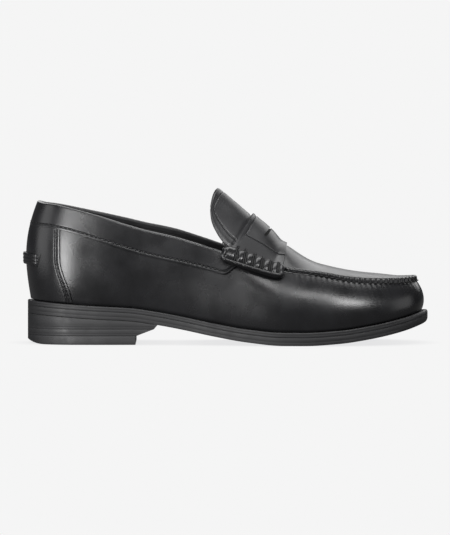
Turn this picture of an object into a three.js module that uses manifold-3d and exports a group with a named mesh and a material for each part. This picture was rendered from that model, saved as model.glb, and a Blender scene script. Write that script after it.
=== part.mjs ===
// A man's right penny loafer, millimetres, +Z up, toe along +X, the outer side of the foot along -Y.
// Every leather piece is a thin shell on one of two surfaces of the last: the wall round the foot,
// and the arch of apron, strap and tongue over it. The sole pieces are plates between two heights.
import * as THREE from "three";
import { LoftGeometry } from "three/addons/geometries/LoftGeometry.js";
import { mergeVertices } from "three/addons/utils/BufferGeometryUtils.js";
import Module from "manifold-3d";

const wasm = await Module();
wasm.setup();

// ---- Driving dimensions ----
const SOLE_LENGTH = 290;
const BALL_WIDTH = 100;
const BACK_HEIGHT = 71.5; // upper above the welt at the back of the heel
const HEEL_RISE = 22; // underside of the outsole above the ground at the back
const TOE_SPRING = 15.5; // underside of the outsole above the ground at the toe
const GAP = 0.3; // glue line between neighbouring pieces
const SEAT = 0.4; // glue line under pieces laid over the wall
const BACKING = 0.55; // glue line and backing cloth behind the upper

const OUTSOLE = 5.6;
const WELT = 3.6;
const WELT_WIDTH = 13;
const TOP_PIECE = 6.2;
const LIFT = 4.5;
const HEEL_LENGTH = 78.5;
const BREAST_SLOPE = 2.6; // forward run of the heel's breast for each millimetre up
const BACK_WEAR = 3.2; // height of the bevel under the heel's back edge
const BACK_WEAR_RUN = 14;

const UPPER = 1.5;
const OVERLAY = 1.2;
const LINING = 0.9;
const STIFFENER = 1.1;
const LASTING_MARGIN = 8; // upper turned in under the insole
const COLLAR_DEPTH = 17.5;
const SEAM_RIDGE = 3.3; // apron seam's raised lip
const APRON = 1.4;
const APRON_DROP = 0.9; // apron below the lip's top
const APRON_CLEARANCE = 0.6; // apron's edge inside the lip
const STRAP = 1.6;
const STRAP_REACH = 0.965; // share of the arch that the strap covers before the rolls
const TONGUE = 1.3;
const TONGUE_LINING = 0.8;
const SLOT_WIDTH = 2.6;
const SLOT_REACH = 0.44; // share of the arch that the slot crosses on each side
const ROLL_HEIGHT = 11;
const ROLL_DEPTH = 6.4;
const THREAD = 1.1;
const TAB_HEIGHT = 9;
const TAB_CENTRE = 29.6; // above the welt
const TAB_THICKNESS = 1.8;

const INSOLE = 2;
const INSOLE_INSET = 6;
const SOCK = 1;
const SOCK_INSET = 6.8;
const HEEL_PAD = 2.4;
const HEEL_PAD_LENGTH = 70;
const SHANK_LENGTH = 112;
const SHANK_WIDTH = 14;
const SHANK = 1.8;
const SHANK_START = 48;
const NAIL_RADIUS = 1.1;
const NAIL_LENGTH = 15;

// ---- The last ----
// It is drawn at this size, and graded in proportion to the driving dimensions.
const DRAWN = { length: 290, width: 100, height: 71.5 };
const GRADE = {
  x: SOLE_LENGTH / DRAWN.length,
  y: BALL_WIDTH / DRAWN.width,
  z: BACK_HEIGHT / DRAWN.height,
};

// Stations round the last, from the back of the heel along the outer side to the toe, and back along
// the inner side: sole x and y, top edge x and y, rise of the top edge above the welt, roundness of the
// wall under the top edge, and the welt that shows outside the upper.
const STATIONS = [
  [0, 0, 9, 0, 71.5, 7.5, 3.9],
  [7, -20, 12.6, -12.6, 70.7, 7, 3.4],
  [24, -31.5, 24.5, -21.8, 70.3, 6, 2.8],
  [50, -34, 49, -27, 65.8, 4.5, 2.5],
  [82, -33.5, 80, -29.6, 58.5, 3.5, 2.4],
  [115, -35.5, 112, -31.6, 56.5, 3.5, 2.4],
  [150, -42.5, 145, -34, 53.4, 5, 2.6],
  [183, -49.5, 180, -36.8, 44.6, 8.5, 3],
  [215, -50, 212, -36.5, 39.3, 10, 3],
  [244, -45, 238, -33.6, 31.9, 9, 3],
  [268.5, -34.5, 260.5, -25.8, 25.9, 7.5, 3.2],
  [284.2, -19.3, 275.8, -14, 21.4, 6, 3.8],
  [290, 0, 281.5, 0, 20.2, 5, 4.4],
  [285.2, 18.8, 276, 14.2, 21.1, 6, 3.8],
  [269, 34.5, 260.5, 26.2, 25.6, 7.5, 3.2],
  [244, 45.8, 238, 34.6, 32.1, 9, 3],
  [213, 50, 211, 37.5, 39.8, 10, 3],
  [181, 47.5, 179, 36, 46.1, 8, 3],
  [150, 38.5, 145, 32.5, 55.9, 4.5, 2.6],
  [118, 30, 112, 29.6, 60.9, 3, 2.2],
  [84, 30.5, 80, 28.8, 62, 3, 2.2],
  [50, 33.5, 49, 27, 66.6, 4.5, 2.5],
  [24, 31.5, 24.5, 21.8, 70, 6, 2.8],
  [7, 20, 12.6, 12.6, 70.7, 7, 3.4],
];
const ROUND = STATIONS.length;
const TOE = 12;

// Rise of the outsole's underside, as shares of the heel's rise and of the toe spring.
const HEEL_CURVE = [
  [0, 1],
  [0.16, 0.845],
  [0.26, 0.77],
  [0.325, 0.65],
  [0.385, 0.505],
  [0.465, 0.286],
  [0.55, 0.1],
  [0.64, 0],
  [1, 0],
];
const TOE_CURVE = [
  [0, 0],
  [0.69, 0],
  [0.775, 0.09],
  [0.86, 0.316],
  [0.94, 0.645],
  [1, 1],
];

// Ribs of the arch, from the toe to the tongue's tip: the stations where the rib meets the seam on the
// outer and inner side, and how far its crown stands ahead of and above the line between those points.
const RIBS = [
  [10, 14, 17.6, 0.5],
  [9.3, 14.7, 15, 2.0],
  [8.68, 15.32, 10, 2.4],
  [8.1, 15.88, 7, 3.0],
  [7.62, 16.36, 5, 5.8],
  [7.13, 16.85, 2.8, 14.8],
  [6.65, 17.35, 8, 21.8],
  [6.05, 17.95, 16.5, 24.5],
  [6.05, 17.95, 20.5, 25.8],
  [6.05, 17.95, 25.5, 26],
];
const STRAP_FRONT = 5;
const STRAP_BACK = 7;
const APRON_END = 6.35; // the apron stops under the strap
const ROUNDNESS = 2.25; // of the arch: 2 is a parabola
const TONGUE_ROOT = 6.93; // its lower edge is sewn under the strap
const TONGUE_STEP = { x: -17, z: 9.4, narrowing: 0.03 }; // for each rib past the strap

const { lerp, clamp, euclideanModulo, smoothstep } = THREE.MathUtils;
const up = new THREE.Vector3(0, 0, 1);

// A share f of the way from a to b, on a cubic with slopes m0 and m1 at its ends.
function hermite(f, a, b, m0, m1) {
  const f2 = f * f;
  const f3 = f2 * f;
  return (2 * f3 - 3 * f2 + 1) * a + (f3 - 2 * f2 + f) * m0 + (3 * f2 - 2 * f3) * b + (f3 - f2) * m1;
}

// A smooth curve through rows of numbers, at row number t: closed, or held at its ends.
function throughRows(rows, t, closed) {
  const i = Math.floor(t);
  const row = (k) => rows[closed ? euclideanModulo(k, rows.length) : clamp(k, 0, rows.length - 1)];
  const [a, b, c, d] = [row(i - 1), row(i), row(i + 1), row(i + 2)];
  return b.map((_, n) => hermite(t - i, b[n], c[n], (c[n] - a[n]) / 2, (d[n] - b[n]) / 2));
}

// A curve through points x, y that never swings past them.
function throughPoints(points, x) {
  const last = points.length - 1;
  const slope = (k) => (points[k + 1][1] - points[k][1]) / (points[k + 1][0] - points[k][0]);
  const tangent = (k) => {
    if (k === 0) return slope(0);
    if (k === last) return slope(last - 1);
    const [s, r] = [slope(k - 1), slope(k)];
    return s * r <= 0 ? 0 : (2 * s * r) / (s + r);
  };
  let i = 0;
  while (i < last - 1 && x > points[i + 1][0]) i++;
  const [[x0, y0], [x1, y1]] = [points[i], points[i + 1]];
  const width = x1 - x0;
  const f = clamp((x - x0) / width, 0, 1);
  return hermite(f, y0, y1, width * tangent(i), width * tangent(i + 1));
}

// Value between low and high where a rising function reaches the target.
const HALVINGS = 30;
function solve(rising, target, low, high) {
  for (let k = 0; k < HALVINGS; k++) {
    const middle = (low + high) / 2;
    if (rising(middle) < target) low = middle;
    else high = middle;
  }
  return (low + high) / 2;
}

const station = (t) => throughRows(STATIONS, t, true);
const groundRise = (x) =>
  HEEL_RISE * throughPoints(HEEL_CURVE, x / SOLE_LENGTH) +
  TOE_SPRING * throughPoints(TOE_CURVE, x / SOLE_LENGTH);
const weltTop = (x) => groundRise(x) + OUTSOLE + GAP + WELT;
const featherZ = (x) => weltTop(x) + GAP;

// Edge of the sole at a station, in plan, and the direction out of the shoe there.
function soleEdge(t) {
  const [x, y] = station(t);
  return new THREE.Vector2(x * GRADE.x, y * GRADE.y);
}
function outward(t) {
  const step = 0.02;
  const along = soleEdge(t + step).sub(soleEdge(t - step)).normalize();
  return new THREE.Vector3(along.y, -along.x, 0);
}
function feather(t) {
  const edge = soleEdge(t);
  const margin = station(t)[6];
  const out = outward(t);
  const x = edge.x - out.x * margin;
  return new THREE.Vector3(x, edge.y - out.y * margin, featherZ(x));
}
function topEdge(t) {
  const row = station(t);
  return new THREE.Vector3(row[2] * GRADE.x, row[3] * GRADE.y, featherZ(row[0] * GRADE.x) + row[4] * GRADE.z);
}

// The wall of the upper, from the welt (h = 0) to the top edge (h = 1).
const WALL_FOOT_SHARE = 0.35;
const WALL_HEAD_SHARE = 0.28;
const FOOT_ROUNDNESS = 3.6;
function wall(t, h) {
  const foot = feather(t);
  const top = topEdge(t);
  const out = outward(t);
  const rise = top.z - foot.z;
  const low = foot.clone().addScaledVector(out, FOOT_ROUNDNESS).addScaledVector(up, rise * WALL_FOOT_SHARE);
  const high = top.clone().addScaledVector(out, station(t)[5]).addScaledVector(up, -rise * WALL_HEAD_SHARE);
  return new THREE.CubicBezierCurve3(foot, low, high, top).getPoint(h);
}
function wallNormal(t, h) {
  const step = 0.01;
  const h0 = Math.max(h - step, 0);
  const h1 = Math.min(h + step, 1);
  const along = wall(t + step, h).sub(wall(t - step, h));
  const upward = wall(t, h1).sub(wall(t, h0));
  return along.cross(upward).normalize();
}
const skin = (t, h, offset) => wall(t, h).addScaledVector(wallNormal(t, h), offset);
const shareAtRise = (t, rise) => solve((h) => wall(t, h).z - feather(t).z, rise, 0, 1);
const shareBelowTop = (t, drop) => shareAtRise(t, topEdge(t).z - feather(t).z - drop);

// How much of the seam's lip stands at a station: all round the toe, none behind the strap.
const LIP_START = { outer: 6.9, inner: 17.1, run: 0.35 };
const LIP_LEFT = 0.4;
function lip(t) {
  const fromOuter = smoothstep(t, LIP_START.outer, LIP_START.outer + LIP_START.run);
  const fromInner = 1 - smoothstep(t, LIP_START.inner - LIP_START.run, LIP_START.inner);
  return LIP_LEFT + (SEAM_RIDGE - LIP_LEFT) * Math.min(fromOuter, fromInner);
}

// The arch: across a rib from the outer side (a = -1) to the inner side (a = 1), along the ribs by p.
function apronEdge(t) {
  return topEdge(t)
    .addScaledVector(outward(t), -(UPPER + APRON_CLEARANCE))
    .addScaledVector(up, lip(t) - APRON_DROP);
}
function arch(p, a) {
  const [tOuter, tInner, ahead, above] = throughRows(RIBS, p, false);
  const past = Math.max(p - STRAP_BACK, 0);
  const shift = new THREE.Vector3(TONGUE_STEP.x * past * GRADE.x, 0, TONGUE_STEP.z * past * GRADE.z);
  const outer = apronEdge(tOuter);
  const inner = apronEdge(tInner);
  const middle = outer.clone().lerp(inner, 0.5);
  const chord = middle.clone().lerp(a < 0 ? outer : inner, Math.abs(a) * (1 - TONGUE_STEP.narrowing * past));
  const bow = 1 - Math.abs(a) ** ROUNDNESS;
  const point = chord.add(shift);
  point.x += ahead * GRADE.x * bow;
  point.z += above * GRADE.z * bow;
  if (p < 1) {
    // the first rib is the toe's own curve, and the next one has left it
    const fade = (1 - p) ** 2;
    const first = RIBS[0];
    const toe = apronEdge(lerp(first[0], first[1], (a + 1) / 2));
    const outer0 = apronEdge(first[0]);
    const inner0 = apronEdge(first[1]);
    const plain = outer0.clone().lerp(inner0, (a + 1) / 2);
    plain.x += first[2] * GRADE.x * bow;
    plain.z += first[3] * GRADE.z * bow;
    point.addScaledVector(toe.sub(plain), fade);
  }
  return point;
}
function archNormal(p, a) {
  const step = 0.01;
  const p0 = Math.max(p - step, 0);
  const a0 = Math.max(a - step, -1);
  const a1 = Math.min(a + step, 1);
  const along = arch(p + step, a).sub(arch(p0, a));
  const across = arch(p, a1).sub(arch(p, a0));
  return across.cross(along).normalize();
}
const archSkin = (p, a, offset) => arch(p, a).addScaledVector(archNormal(p, a), offset);

// ---- Making solids ----
const depth = (value, u, v) => (typeof value === "function" ? value(u, v) : value);

const centroid = (ring) => ring.reduce((sum, p) => sum.add(p), new THREE.Vector3()).divideScalar(ring.length);

// A loft through closed rings, which are turned round where they run clockwise.
function loft(sections, capped = true) {
  const [ring, next] = sections;
  const middle = centroid(ring);
  const facing = new THREE.Vector3();
  ring.forEach((p, i) => {
    const q = ring[(i + 1) % ring.length];
    facing.add(p.clone().sub(middle).cross(q.clone().sub(middle)));
  });
  const forward = centroid(next).sub(middle);
  const rings = facing.dot(forward) < 0 ? sections.map((points) => [...points].reverse()) : sections;
  return new LoftGeometry(rings, { capStart: capped, capEnd: capped });
}

// Shares of the way round from one station to another where every shell on the wall has a column, so
// that neighbouring shells bend at the same places. They are closer round the heel and the toe.
const COLUMN_GRID = 6; // columns stand on sixths of a station
const CLOSE_STEP = 2;
const WIDE_STEP = 3;
const CLOSE_REACH = { heel: 3, toe: 3 };
const END_ROOM = 0.05; // no column is nearer than this to an end
function wallColumns(start, end) {
  const stops = [start];
  const isClose = (t) => {
    const wrapped = euclideanModulo(t, ROUND);
    return Math.min(wrapped, ROUND - wrapped) < CLOSE_REACH.heel || Math.abs(wrapped - TOE) < CLOSE_REACH.toe;
  };
  for (let k = Math.floor(start) * COLUMN_GRID; k / COLUMN_GRID < end; k++) {
    const t = k / COLUMN_GRID;
    const onStep = k % (isClose(t) ? CLOSE_STEP : WIDE_STEP) === 0;
    if (onStep && t > start + END_ROOM && t < end - END_ROOM) stops.push(t);
  }
  stops.push(end);
  return stops.map((t) => (t - start) / (end - start));
}

// A shell between two offsets of a surface place(u, v, offset), u and v from 0 to 1. Its columns are
// a number of even ones, or a list of their u.
function shell(place, columns, rows, outer, inner, closed = false) {
  const sections = [];
  const list = Array.isArray(columns) ? columns : Array.from({ length: columns + 1 }, (_, i) => i / columns);
  for (const u of list) {
    const ring = [];
    for (let j = 0; j <= rows; j++) ring.push(place(u, j / rows, depth(outer, u, j / rows)));
    for (let j = rows; j >= 0; j--) ring.push(place(u, j / rows, depth(inner, u, j / rows)));
    sections.push(ring);
  }
  return loft(sections, !closed);
}

// A tube of an oval section along a path of frames { centre, side, top }.
function ovalTube(frames, halfSide, halfTop, sides) {
  const sections = frames.map(({ centre, side, top, scale = 1 }) =>
    Array.from({ length: sides }, (_, k) => {
      const angle = (k / sides) * 2 * Math.PI;
      return centre
        .clone()
        .addScaledVector(side, Math.cos(angle) * halfSide * scale)
        .addScaledVector(top, Math.sin(angle) * halfTop * scale);
    }),
  );
  return loft(sections);
}

function tubeAlong(points, radius, steps, sides) {
  const section = new THREE.Shape();
  section.absarc(0, 0, radius, 0, 2 * Math.PI);
  return new THREE.ExtrudeGeometry(section, {
    steps,
    curveSegments: sides,
    bevelEnabled: false,
    extrudePath: new THREE.CatmullRomCurve3(points),
  });
}

// Plan edges of the sole drawn in by an inset, at x: outer and inner y.
const TINY_STATION = 0.04;
function breadth(x, inset) {
  const edge = (t) => soleEdge(t).sub(new THREE.Vector2(outward(t).x, outward(t).y).multiplyScalar(inset));
  const outer = solve((t) => edge(t).x, x, TINY_STATION, TOE - TINY_STATION);
  const inner = solve((t) => edge(ROUND - t).x, x, TINY_STATION, TOE - TINY_STATION);
  return [edge(outer).y, edge(ROUND - inner).y];
}

// A plate inside the sole's outline: x from start to end, which may differ at its top and bottom.
function plate({ inset, bottomX, topX, bottomZ, topZ, columns = 28, rows = 4 }) {
  const across = (x, z) => {
    const [outer, inner] = breadth(x, inset);
    const point = (share) => new THREE.Vector3(x, lerp(outer, inner, share), z(x));
    return Array.from({ length: rows + 1 }, (_, j) => point(j / rows));
  };
  const sections = [];
  for (let i = 0; i <= columns; i++) {
    const u = (1 - Math.cos((Math.PI * i) / columns)) / 2;
    const xb = lerp(bottomX[0], bottomX[1], u);
    const xt = lerp(topX[0], topX[1], u);
    const bottom = across(xb, bottomZ);
    const top = across(xt, topZ);
    sections.push([...bottom, ...top.reverse()]);
  }
  return loft(sections);
}

function toSolid(geometry) {
  const bare = new THREE.BufferGeometry();
  bare.setAttribute("position", geometry.getAttribute("position"));
  bare.setIndex(geometry.getIndex());
  const merged = mergeVertices(bare, 1e-4);
  return new wasm.Manifold(
    new wasm.Mesh({
      numProp: 3,
      vertProperties: merged.getAttribute("position").array,
      triVerts: new Uint32Array(merged.index.array),
    }),
  );
}
function toGeometry(solid) {
  const mesh = solid.getMesh();
  const geometry = new THREE.BufferGeometry();
  geometry.setAttribute("position", new THREE.BufferAttribute(mesh.vertProperties, mesh.numProp));
  geometry.setIndex(new THREE.BufferAttribute(mesh.triVerts, 1));
  return geometry;
}
function cut(geometry, ...cutters) {
  return toGeometry(cutters.reduce((solid, cutter) => solid.subtract(toSolid(cutter)), toSolid(geometry)));
}

// ---- Materials ----
const FINISHES = {
  leather: { color: 0x1d1d1f, roughness: 0.38, metalness: 0 },
  gloss: { color: 0x2b2b2d, roughness: 0.32, metalness: 0 },
  lining: { color: 0x161616, roughness: 0.7, metalness: 0 },
  thread: { color: 0x0e0e0e, roughness: 0.6, metalness: 0 },
  sole: { color: 0x2a2a2c, roughness: 0.6, metalness: 0 },
  board: { color: 0x8a7a60, roughness: 0.9, metalness: 0 },
  cork: { color: 0x9a7448, roughness: 0.95, metalness: 0 },
  steel: { color: 0xb0b2b5, roughness: 0.35, metalness: 1 },
};
const shoe = new THREE.Group();
shoe.name = "penny_loafer";
// the tab stands behind the sole, and the origin is under the middle of both
const TAB_OVERHANG = 2.8;
shoe.position.x = -(SOLE_LENGTH - TAB_OVERHANG) / 2;
function add(name, geometry, finish) {
  geometry.computeVertexNormals();
  const mesh = new THREE.Mesh(geometry, new THREE.MeshStandardMaterial(FINISHES[finish]));
  mesh.name = name;
  shoe.add(mesh);
}

// ---- Sole and heel ----
const END = 0.25; // plates stop this far from the outline's own ends
const whole = (inset) => [inset + END, SOLE_LENGTH - inset - END];

function outsole() {
  return plate({
    inset: 0,
    bottomX: whole(0),
    topX: whole(0),
    bottomZ: groundRise,
    topZ: (x) => groundRise(x) + OUTSOLE,
    columns: 44,
  });
}

function welt() {
  const inner = (t) => {
    const out = outward(t);
    const edge = soleEdge(t);
    return new THREE.Vector3(edge.x - out.x * WELT_WIDTH, edge.y - out.y * WELT_WIDTH, 0);
  };
  const place = (u, v, offset) => {
    const t = u * ROUND;
    const edge = soleEdge(t);
    const outer = new THREE.Vector3(edge.x, edge.y, 0);
    const point = outer.lerp(inner(t), v);
    point.z = groundRise(point.x) + OUTSOLE + offset;
    return point;
  };
  return shell(place, 72, 1, GAP, GAP + WELT, true);
}

const heelFront = (z) => HEEL_LENGTH + Math.max(z - TOP_PIECE, 0) * BREAST_SLOPE;
const LOWER_LIFT_TOP = TOP_PIECE + GAP + LIFT;

const BACK_WEAR_CURVE = 2.5; // the bevel is steepest at the back edge
function heelTopPiece() {
  const wear = (x) => BACK_WEAR * Math.max(1 - x / BACK_WEAR_RUN, 0) ** BACK_WEAR_CURVE;
  const span = [END, HEEL_LENGTH];
  return plate({
    inset: 0,
    bottomX: span,
    topX: span,
    bottomZ: wear,
    topZ: () => TOP_PIECE,
    columns: 22,
    rows: 2,
  });
}
function lowerLift() {
  const low = TOP_PIECE + GAP;
  return plate({
    inset: 0,
    bottomX: [END, heelFront(low)],
    topX: [END, heelFront(LOWER_LIFT_TOP)],
    bottomZ: () => low,
    topZ: () => LOWER_LIFT_TOP,
    columns: 20,
    rows: 2,
  });
}
function upperLift() {
  const low = LOWER_LIFT_TOP + GAP;
  const front = heelFront(low) + BREAST_SLOPE;
  return plate({
    inset: 0,
    bottomX: [END, heelFront(low)],
    topX: [END, front],
    bottomZ: () => low,
    topZ: (x) => groundRise(x) - GAP,
    columns: 20,
    rows: 2,
  });
}

function fillerBody() {
  const inset = WELT_WIDTH + 2 * GAP;
  const low = (x) => groundRise(x) + OUTSOLE + GAP;
  return plate({
    inset,
    bottomX: whole(inset),
    topX: whole(inset),
    bottomZ: low,
    topZ: (x) => low(x) + WELT,
    columns: 24,
    rows: 2,
  });
}
// A steel strip down the waist, set in the filler's upper face.
const SHANK_STEPS = 10;
const SLOT_OVERRUN = 1; // a slot's cutter stands this far past the face that it opens
function shankStrip(clearance) {
  const sections = [];
  for (let i = 0; i <= SHANK_STEPS; i++) {
    const x = SHANK_START - clearance + ((SHANK_LENGTH + 2 * clearance) * i) / SHANK_STEPS;
    const face = groundRise(x) + OUTSOLE + GAP + WELT;
    const top = face + (clearance > 0 ? SLOT_OVERRUN : 0);
    const low = face - SHANK - clearance;
    const half = SHANK_WIDTH / 2 + clearance;
    sections.push([
      new THREE.Vector3(x, -half, low),
      new THREE.Vector3(x, half, low),
      new THREE.Vector3(x, half, top),
      new THREE.Vector3(x, -half, top),
    ]);
  }
  return loft(sections);
}

// Nails that hold the two lifts together, from just above the top piece to just under the outsole.
const NAILS = [
  [16, 0],
  [30, -19],
  [30, 19],
  [62, -19],
  [62, 19],
];
function nail(x, y, clearance) {
  const low = TOP_PIECE + 2 * GAP;
  const top = groundRise(x) - 2 * GAP;
  const length = Math.min(NAIL_LENGTH, top - low) + 2 * clearance;
  const pin = new THREE.CylinderGeometry(NAIL_RADIUS + clearance, NAIL_RADIUS + clearance, length, 8);
  pin.rotateX(Math.PI / 2);
  pin.translate(x * GRADE.x, y * GRADE.y, low - clearance + length / 2);
  return pin;
}

const boardLow = (x) => featherZ(x) + UPPER + GAP;
const boardTop = (x) => boardLow(x) + INSOLE;
const PAD_RAMP = 1.5; // the sock is down on the board again at this many pad lengths
const padRaise = (x) => (HEEL_PAD + GAP) * (1 - smoothstep(x, HEEL_PAD_LENGTH, HEEL_PAD_LENGTH * PAD_RAMP));
const FOOT_ROOM = 2.6; // for the foot of the upper and its glue
const PAD_MARGIN = 4; // pad's edge inside the sock's own inset
function insoleBoard() {
  const inset = INSOLE_INSET + FOOT_ROOM;
  const span = whole(inset);
  return plate({ inset, bottomX: span, topX: span, bottomZ: boardLow, topZ: boardTop, rows: 3 });
}
function sockLiner() {
  const inset = SOCK_INSET + FOOT_ROOM;
  const span = whole(inset);
  const low = (x) => boardTop(x) + GAP + padRaise(x);
  return plate({ inset, bottomX: span, topX: span, bottomZ: low, topZ: (x) => low(x) + SOCK, rows: 3 });
}
function heelPad() {
  const inset = SOCK_INSET + PAD_MARGIN;
  const span = [inset + END, HEEL_PAD_LENGTH];
  const low = (x) => boardTop(x) + GAP;
  return plate({
    inset,
    bottomX: span,
    topX: span,
    bottomZ: low,
    topZ: (x) => low(x) + HEEL_PAD,
    columns: 14,
    rows: 2,
  });
}

// ---- Upper ----
const BACK_SEAM = 0.02;
const VAMP_ROWS = 7;

// One piece round the whole shoe, closed by a seam up the back of the heel. Its lower edge is turned in
// under the insole, and its top edge stands up as the apron seam's lip round the toe.
function vamp() {
  const sections = [];
  for (const u of wallColumns(BACK_SEAM, ROUND - BACK_SEAM)) {
    const t = lerp(BACK_SEAM, ROUND - BACK_SEAM, u);
    const out = outward(t);
    const foot = feather(t);
    const top = topEdge(t);
    const outer = [foot.clone().addScaledVector(out, -LASTING_MARGIN), foot];
    const inner = [
      foot.clone().addScaledVector(out, -LASTING_MARGIN).addScaledVector(up, UPPER),
      foot.clone().addScaledVector(out, -UPPER).addScaledVector(up, UPPER),
    ];
    for (const point of [outer[0], inner[0]]) point.z += featherZ(point.x) - foot.z;
    for (let j = 1; j <= VAMP_ROWS; j++) {
      const h = j / VAMP_ROWS;
      outer.push(wall(t, h));
      inner.push(j === VAMP_ROWS ? top.clone().addScaledVector(out, -UPPER) : skin(t, h, -UPPER));
    }
    outer.push(top.clone().addScaledVector(up, lip(t)));
    inner.push(top.clone().addScaledVector(out, -UPPER).addScaledVector(up, lip(t)));
    sections.push([...outer, ...inner.reverse()]);
  }
  return loft(sections);
}

// Depth of a lining under the wall: deeper where a stiffener lies between it and the upper.
const COUNTER_REACH = 3.4;
const PUFF_REACH = 2;
const CLOSING = { start: 0.05, end: 0.6 }; // stations past a stiffener over which the lining closes up
function liningDepth(t) {
  const fromHeel = Math.min(t, ROUND - t);
  const fromToe = Math.abs(t - TOE);
  const stiff = (distance, reach) => 1 - smoothstep(distance, reach + CLOSING.start, reach + CLOSING.end);
  const share = Math.max(stiff(fromHeel, COUNTER_REACH), stiff(fromToe, PUFF_REACH));
  return UPPER + BACKING + share * (STIFFENER + BACKING);
}
const LINING_FOOT = 2.6; // above the lasting margin
const LINING_DROP = 3.4; // under the apron seam
const LINING_JOINT = { heel: 2.2, outer: 6.5, inner: 17.5 };
const JOINT_GAP = 0.02;
const DROP_RUN = { near: 0.3, far: 0.9 }; // stations from the joint over which the top edge comes down
const stripDrop = (t) => {
  const near = Math.min(
    smoothstep(t, LINING_JOINT.outer - DROP_RUN.far, LINING_JOINT.outer - DROP_RUN.near),
    1 - smoothstep(t, LINING_JOINT.inner + DROP_RUN.near, LINING_JOINT.inner + DROP_RUN.far),
  );
  return LINING_DROP * near;
};

function liningShell(start, end) {
  const place = (u, v, offset) => {
    const t = lerp(start, end, u);
    const wrapped = euclideanModulo(t, ROUND);
    const low = shareAtRise(wrapped, LINING_FOOT);
    const drop = stripDrop(wrapped);
    const high = drop > 0 ? shareBelowTop(wrapped, drop) : 1;
    return skin(wrapped, lerp(low, high, v), -liningDepth(wrapped) - offset);
  };
  return shell(place, wallColumns(start, end), 6, 0, LINING);
}

const COUNTER_HEAD = { back: 0.68, loss: 0.45 }; // share of the wall's height, and its loss at the ends
function counterStiffener() {
  const place = (u, v, offset) => {
    const t = lerp(-COUNTER_REACH, COUNTER_REACH, u);
    const high = COUNTER_HEAD.back * (1 - COUNTER_HEAD.loss * (Math.abs(t) / COUNTER_REACH) ** 2);
    const low = shareAtRise(t + ROUND, LINING_FOOT);
    return skin(t + ROUND, lerp(low, high, v), -(UPPER + BACKING) - offset);
  };
  return shell(place, wallColumns(-COUNTER_REACH, COUNTER_REACH), 4, 0, STIFFENER);
}
function toePuff() {
  const place = (u, v, offset) => {
    const t = lerp(TOE - PUFF_REACH, TOE + PUFF_REACH, u);
    const h = lerp(shareAtRise(t, LINING_FOOT), shareBelowTop(t, LINING_DROP), v);
    return skin(t, h, -(UPPER + BACKING) - offset);
  };
  return shell(place, wallColumns(TOE - PUFF_REACH, TOE + PUFF_REACH), 5, 0, STIFFENER);
}

// Leather over the closed back seam, under the collar.
const PATCH_EDGE = { foot: 2.36, waist: 2.02, waistShare: 0.55 };
const PATCH_FOOT = 0.015; // share of the wall's height left under it
const PATCH_HEAD_GAP = GAP + 0.2; // under the collar's edge
function counterPatch() {
  const place = (u, v, offset) => {
    const edge = lerp(PATCH_EDGE.foot, PATCH_EDGE.waist, smoothstep(v, 0, PATCH_EDGE.waistShare));
    const t = lerp(-edge, edge, u) + ROUND;
    const high = shareBelowTop(t, COLLAR_DEPTH + PATCH_HEAD_GAP);
    return skin(t, lerp(PATCH_FOOT, high, v), offset);
  };
  return shell(place, wallColumns(-PATCH_EDGE.foot, PATCH_EDGE.foot), 6, SEAT + OVERLAY, SEAT);
}

// Band round the topline, from one roll round the heel to the other.
const COLLAR_END = 6.1;
const COLLAR_TAPER = { start: 5, drop: 3 }; // the band narrows towards the rolls
function collarDepth(t) {
  const fromHeel = Math.min(t, ROUND - t);
  return COLLAR_DEPTH - COLLAR_TAPER.drop * smoothstep(fromHeel, COLLAR_TAPER.start, COLLAR_END);
}
function collarBand() {
  const place = (u, v, offset) => {
    const t = lerp(ROUND - COLLAR_END, ROUND + COLLAR_END, u) % ROUND;
    return skin(t, lerp(shareBelowTop(t, collarDepth(t)), 1, v), offset);
  };
  const columns = wallColumns(ROUND - COLLAR_END, ROUND + COLLAR_END);
  return cut(shell(place, columns, 3, SEAT + OVERLAY, SEAT), roll(-1, GAP), roll(1, GAP));
}

// Strip across the back, its two ends in slits of the patch.
const TAB_REACH = 1.1;
const TAB_THINNING = 0.35; // share of its thickness lost at its ends
function heelTab() {
  const place = (u, v, offset) => {
    const t = lerp(-TAB_REACH, TAB_REACH, u) + ROUND;
    const rise = TAB_CENTRE + TAB_HEIGHT * (v - 0.5);
    return skin(t, shareAtRise(t, rise), offset);
  };
  const rest = OVERLAY + 2 * SEAT;
  const swell = (u) => rest + TAB_THICKNESS * (1 - TAB_THINNING * Math.abs(2 * u - 1) ** 3);
  return shell(place, wallColumns(-TAB_REACH, TAB_REACH), 2, swell, rest);
}

// ---- Apron, strap and tongue ----
function apron() {
  const place = (u, v, offset) => archSkin(u * APRON_END, lerp(1, -1, v), offset);
  return shell(place, 20, 12, 0, -APRON);
}
const APRON_LINING = { front: 0.25, half: 0.9 }; // rib that it starts at, and share of the arch it covers
function apronLining() {
  const { front, half } = APRON_LINING;
  const place = (u, v, offset) => archSkin(lerp(front, APRON_END, u), lerp(half, -half, v), offset);
  return shell(place, 16, 10, -APRON - BACKING, -APRON - BACKING - LINING);
}

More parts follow.
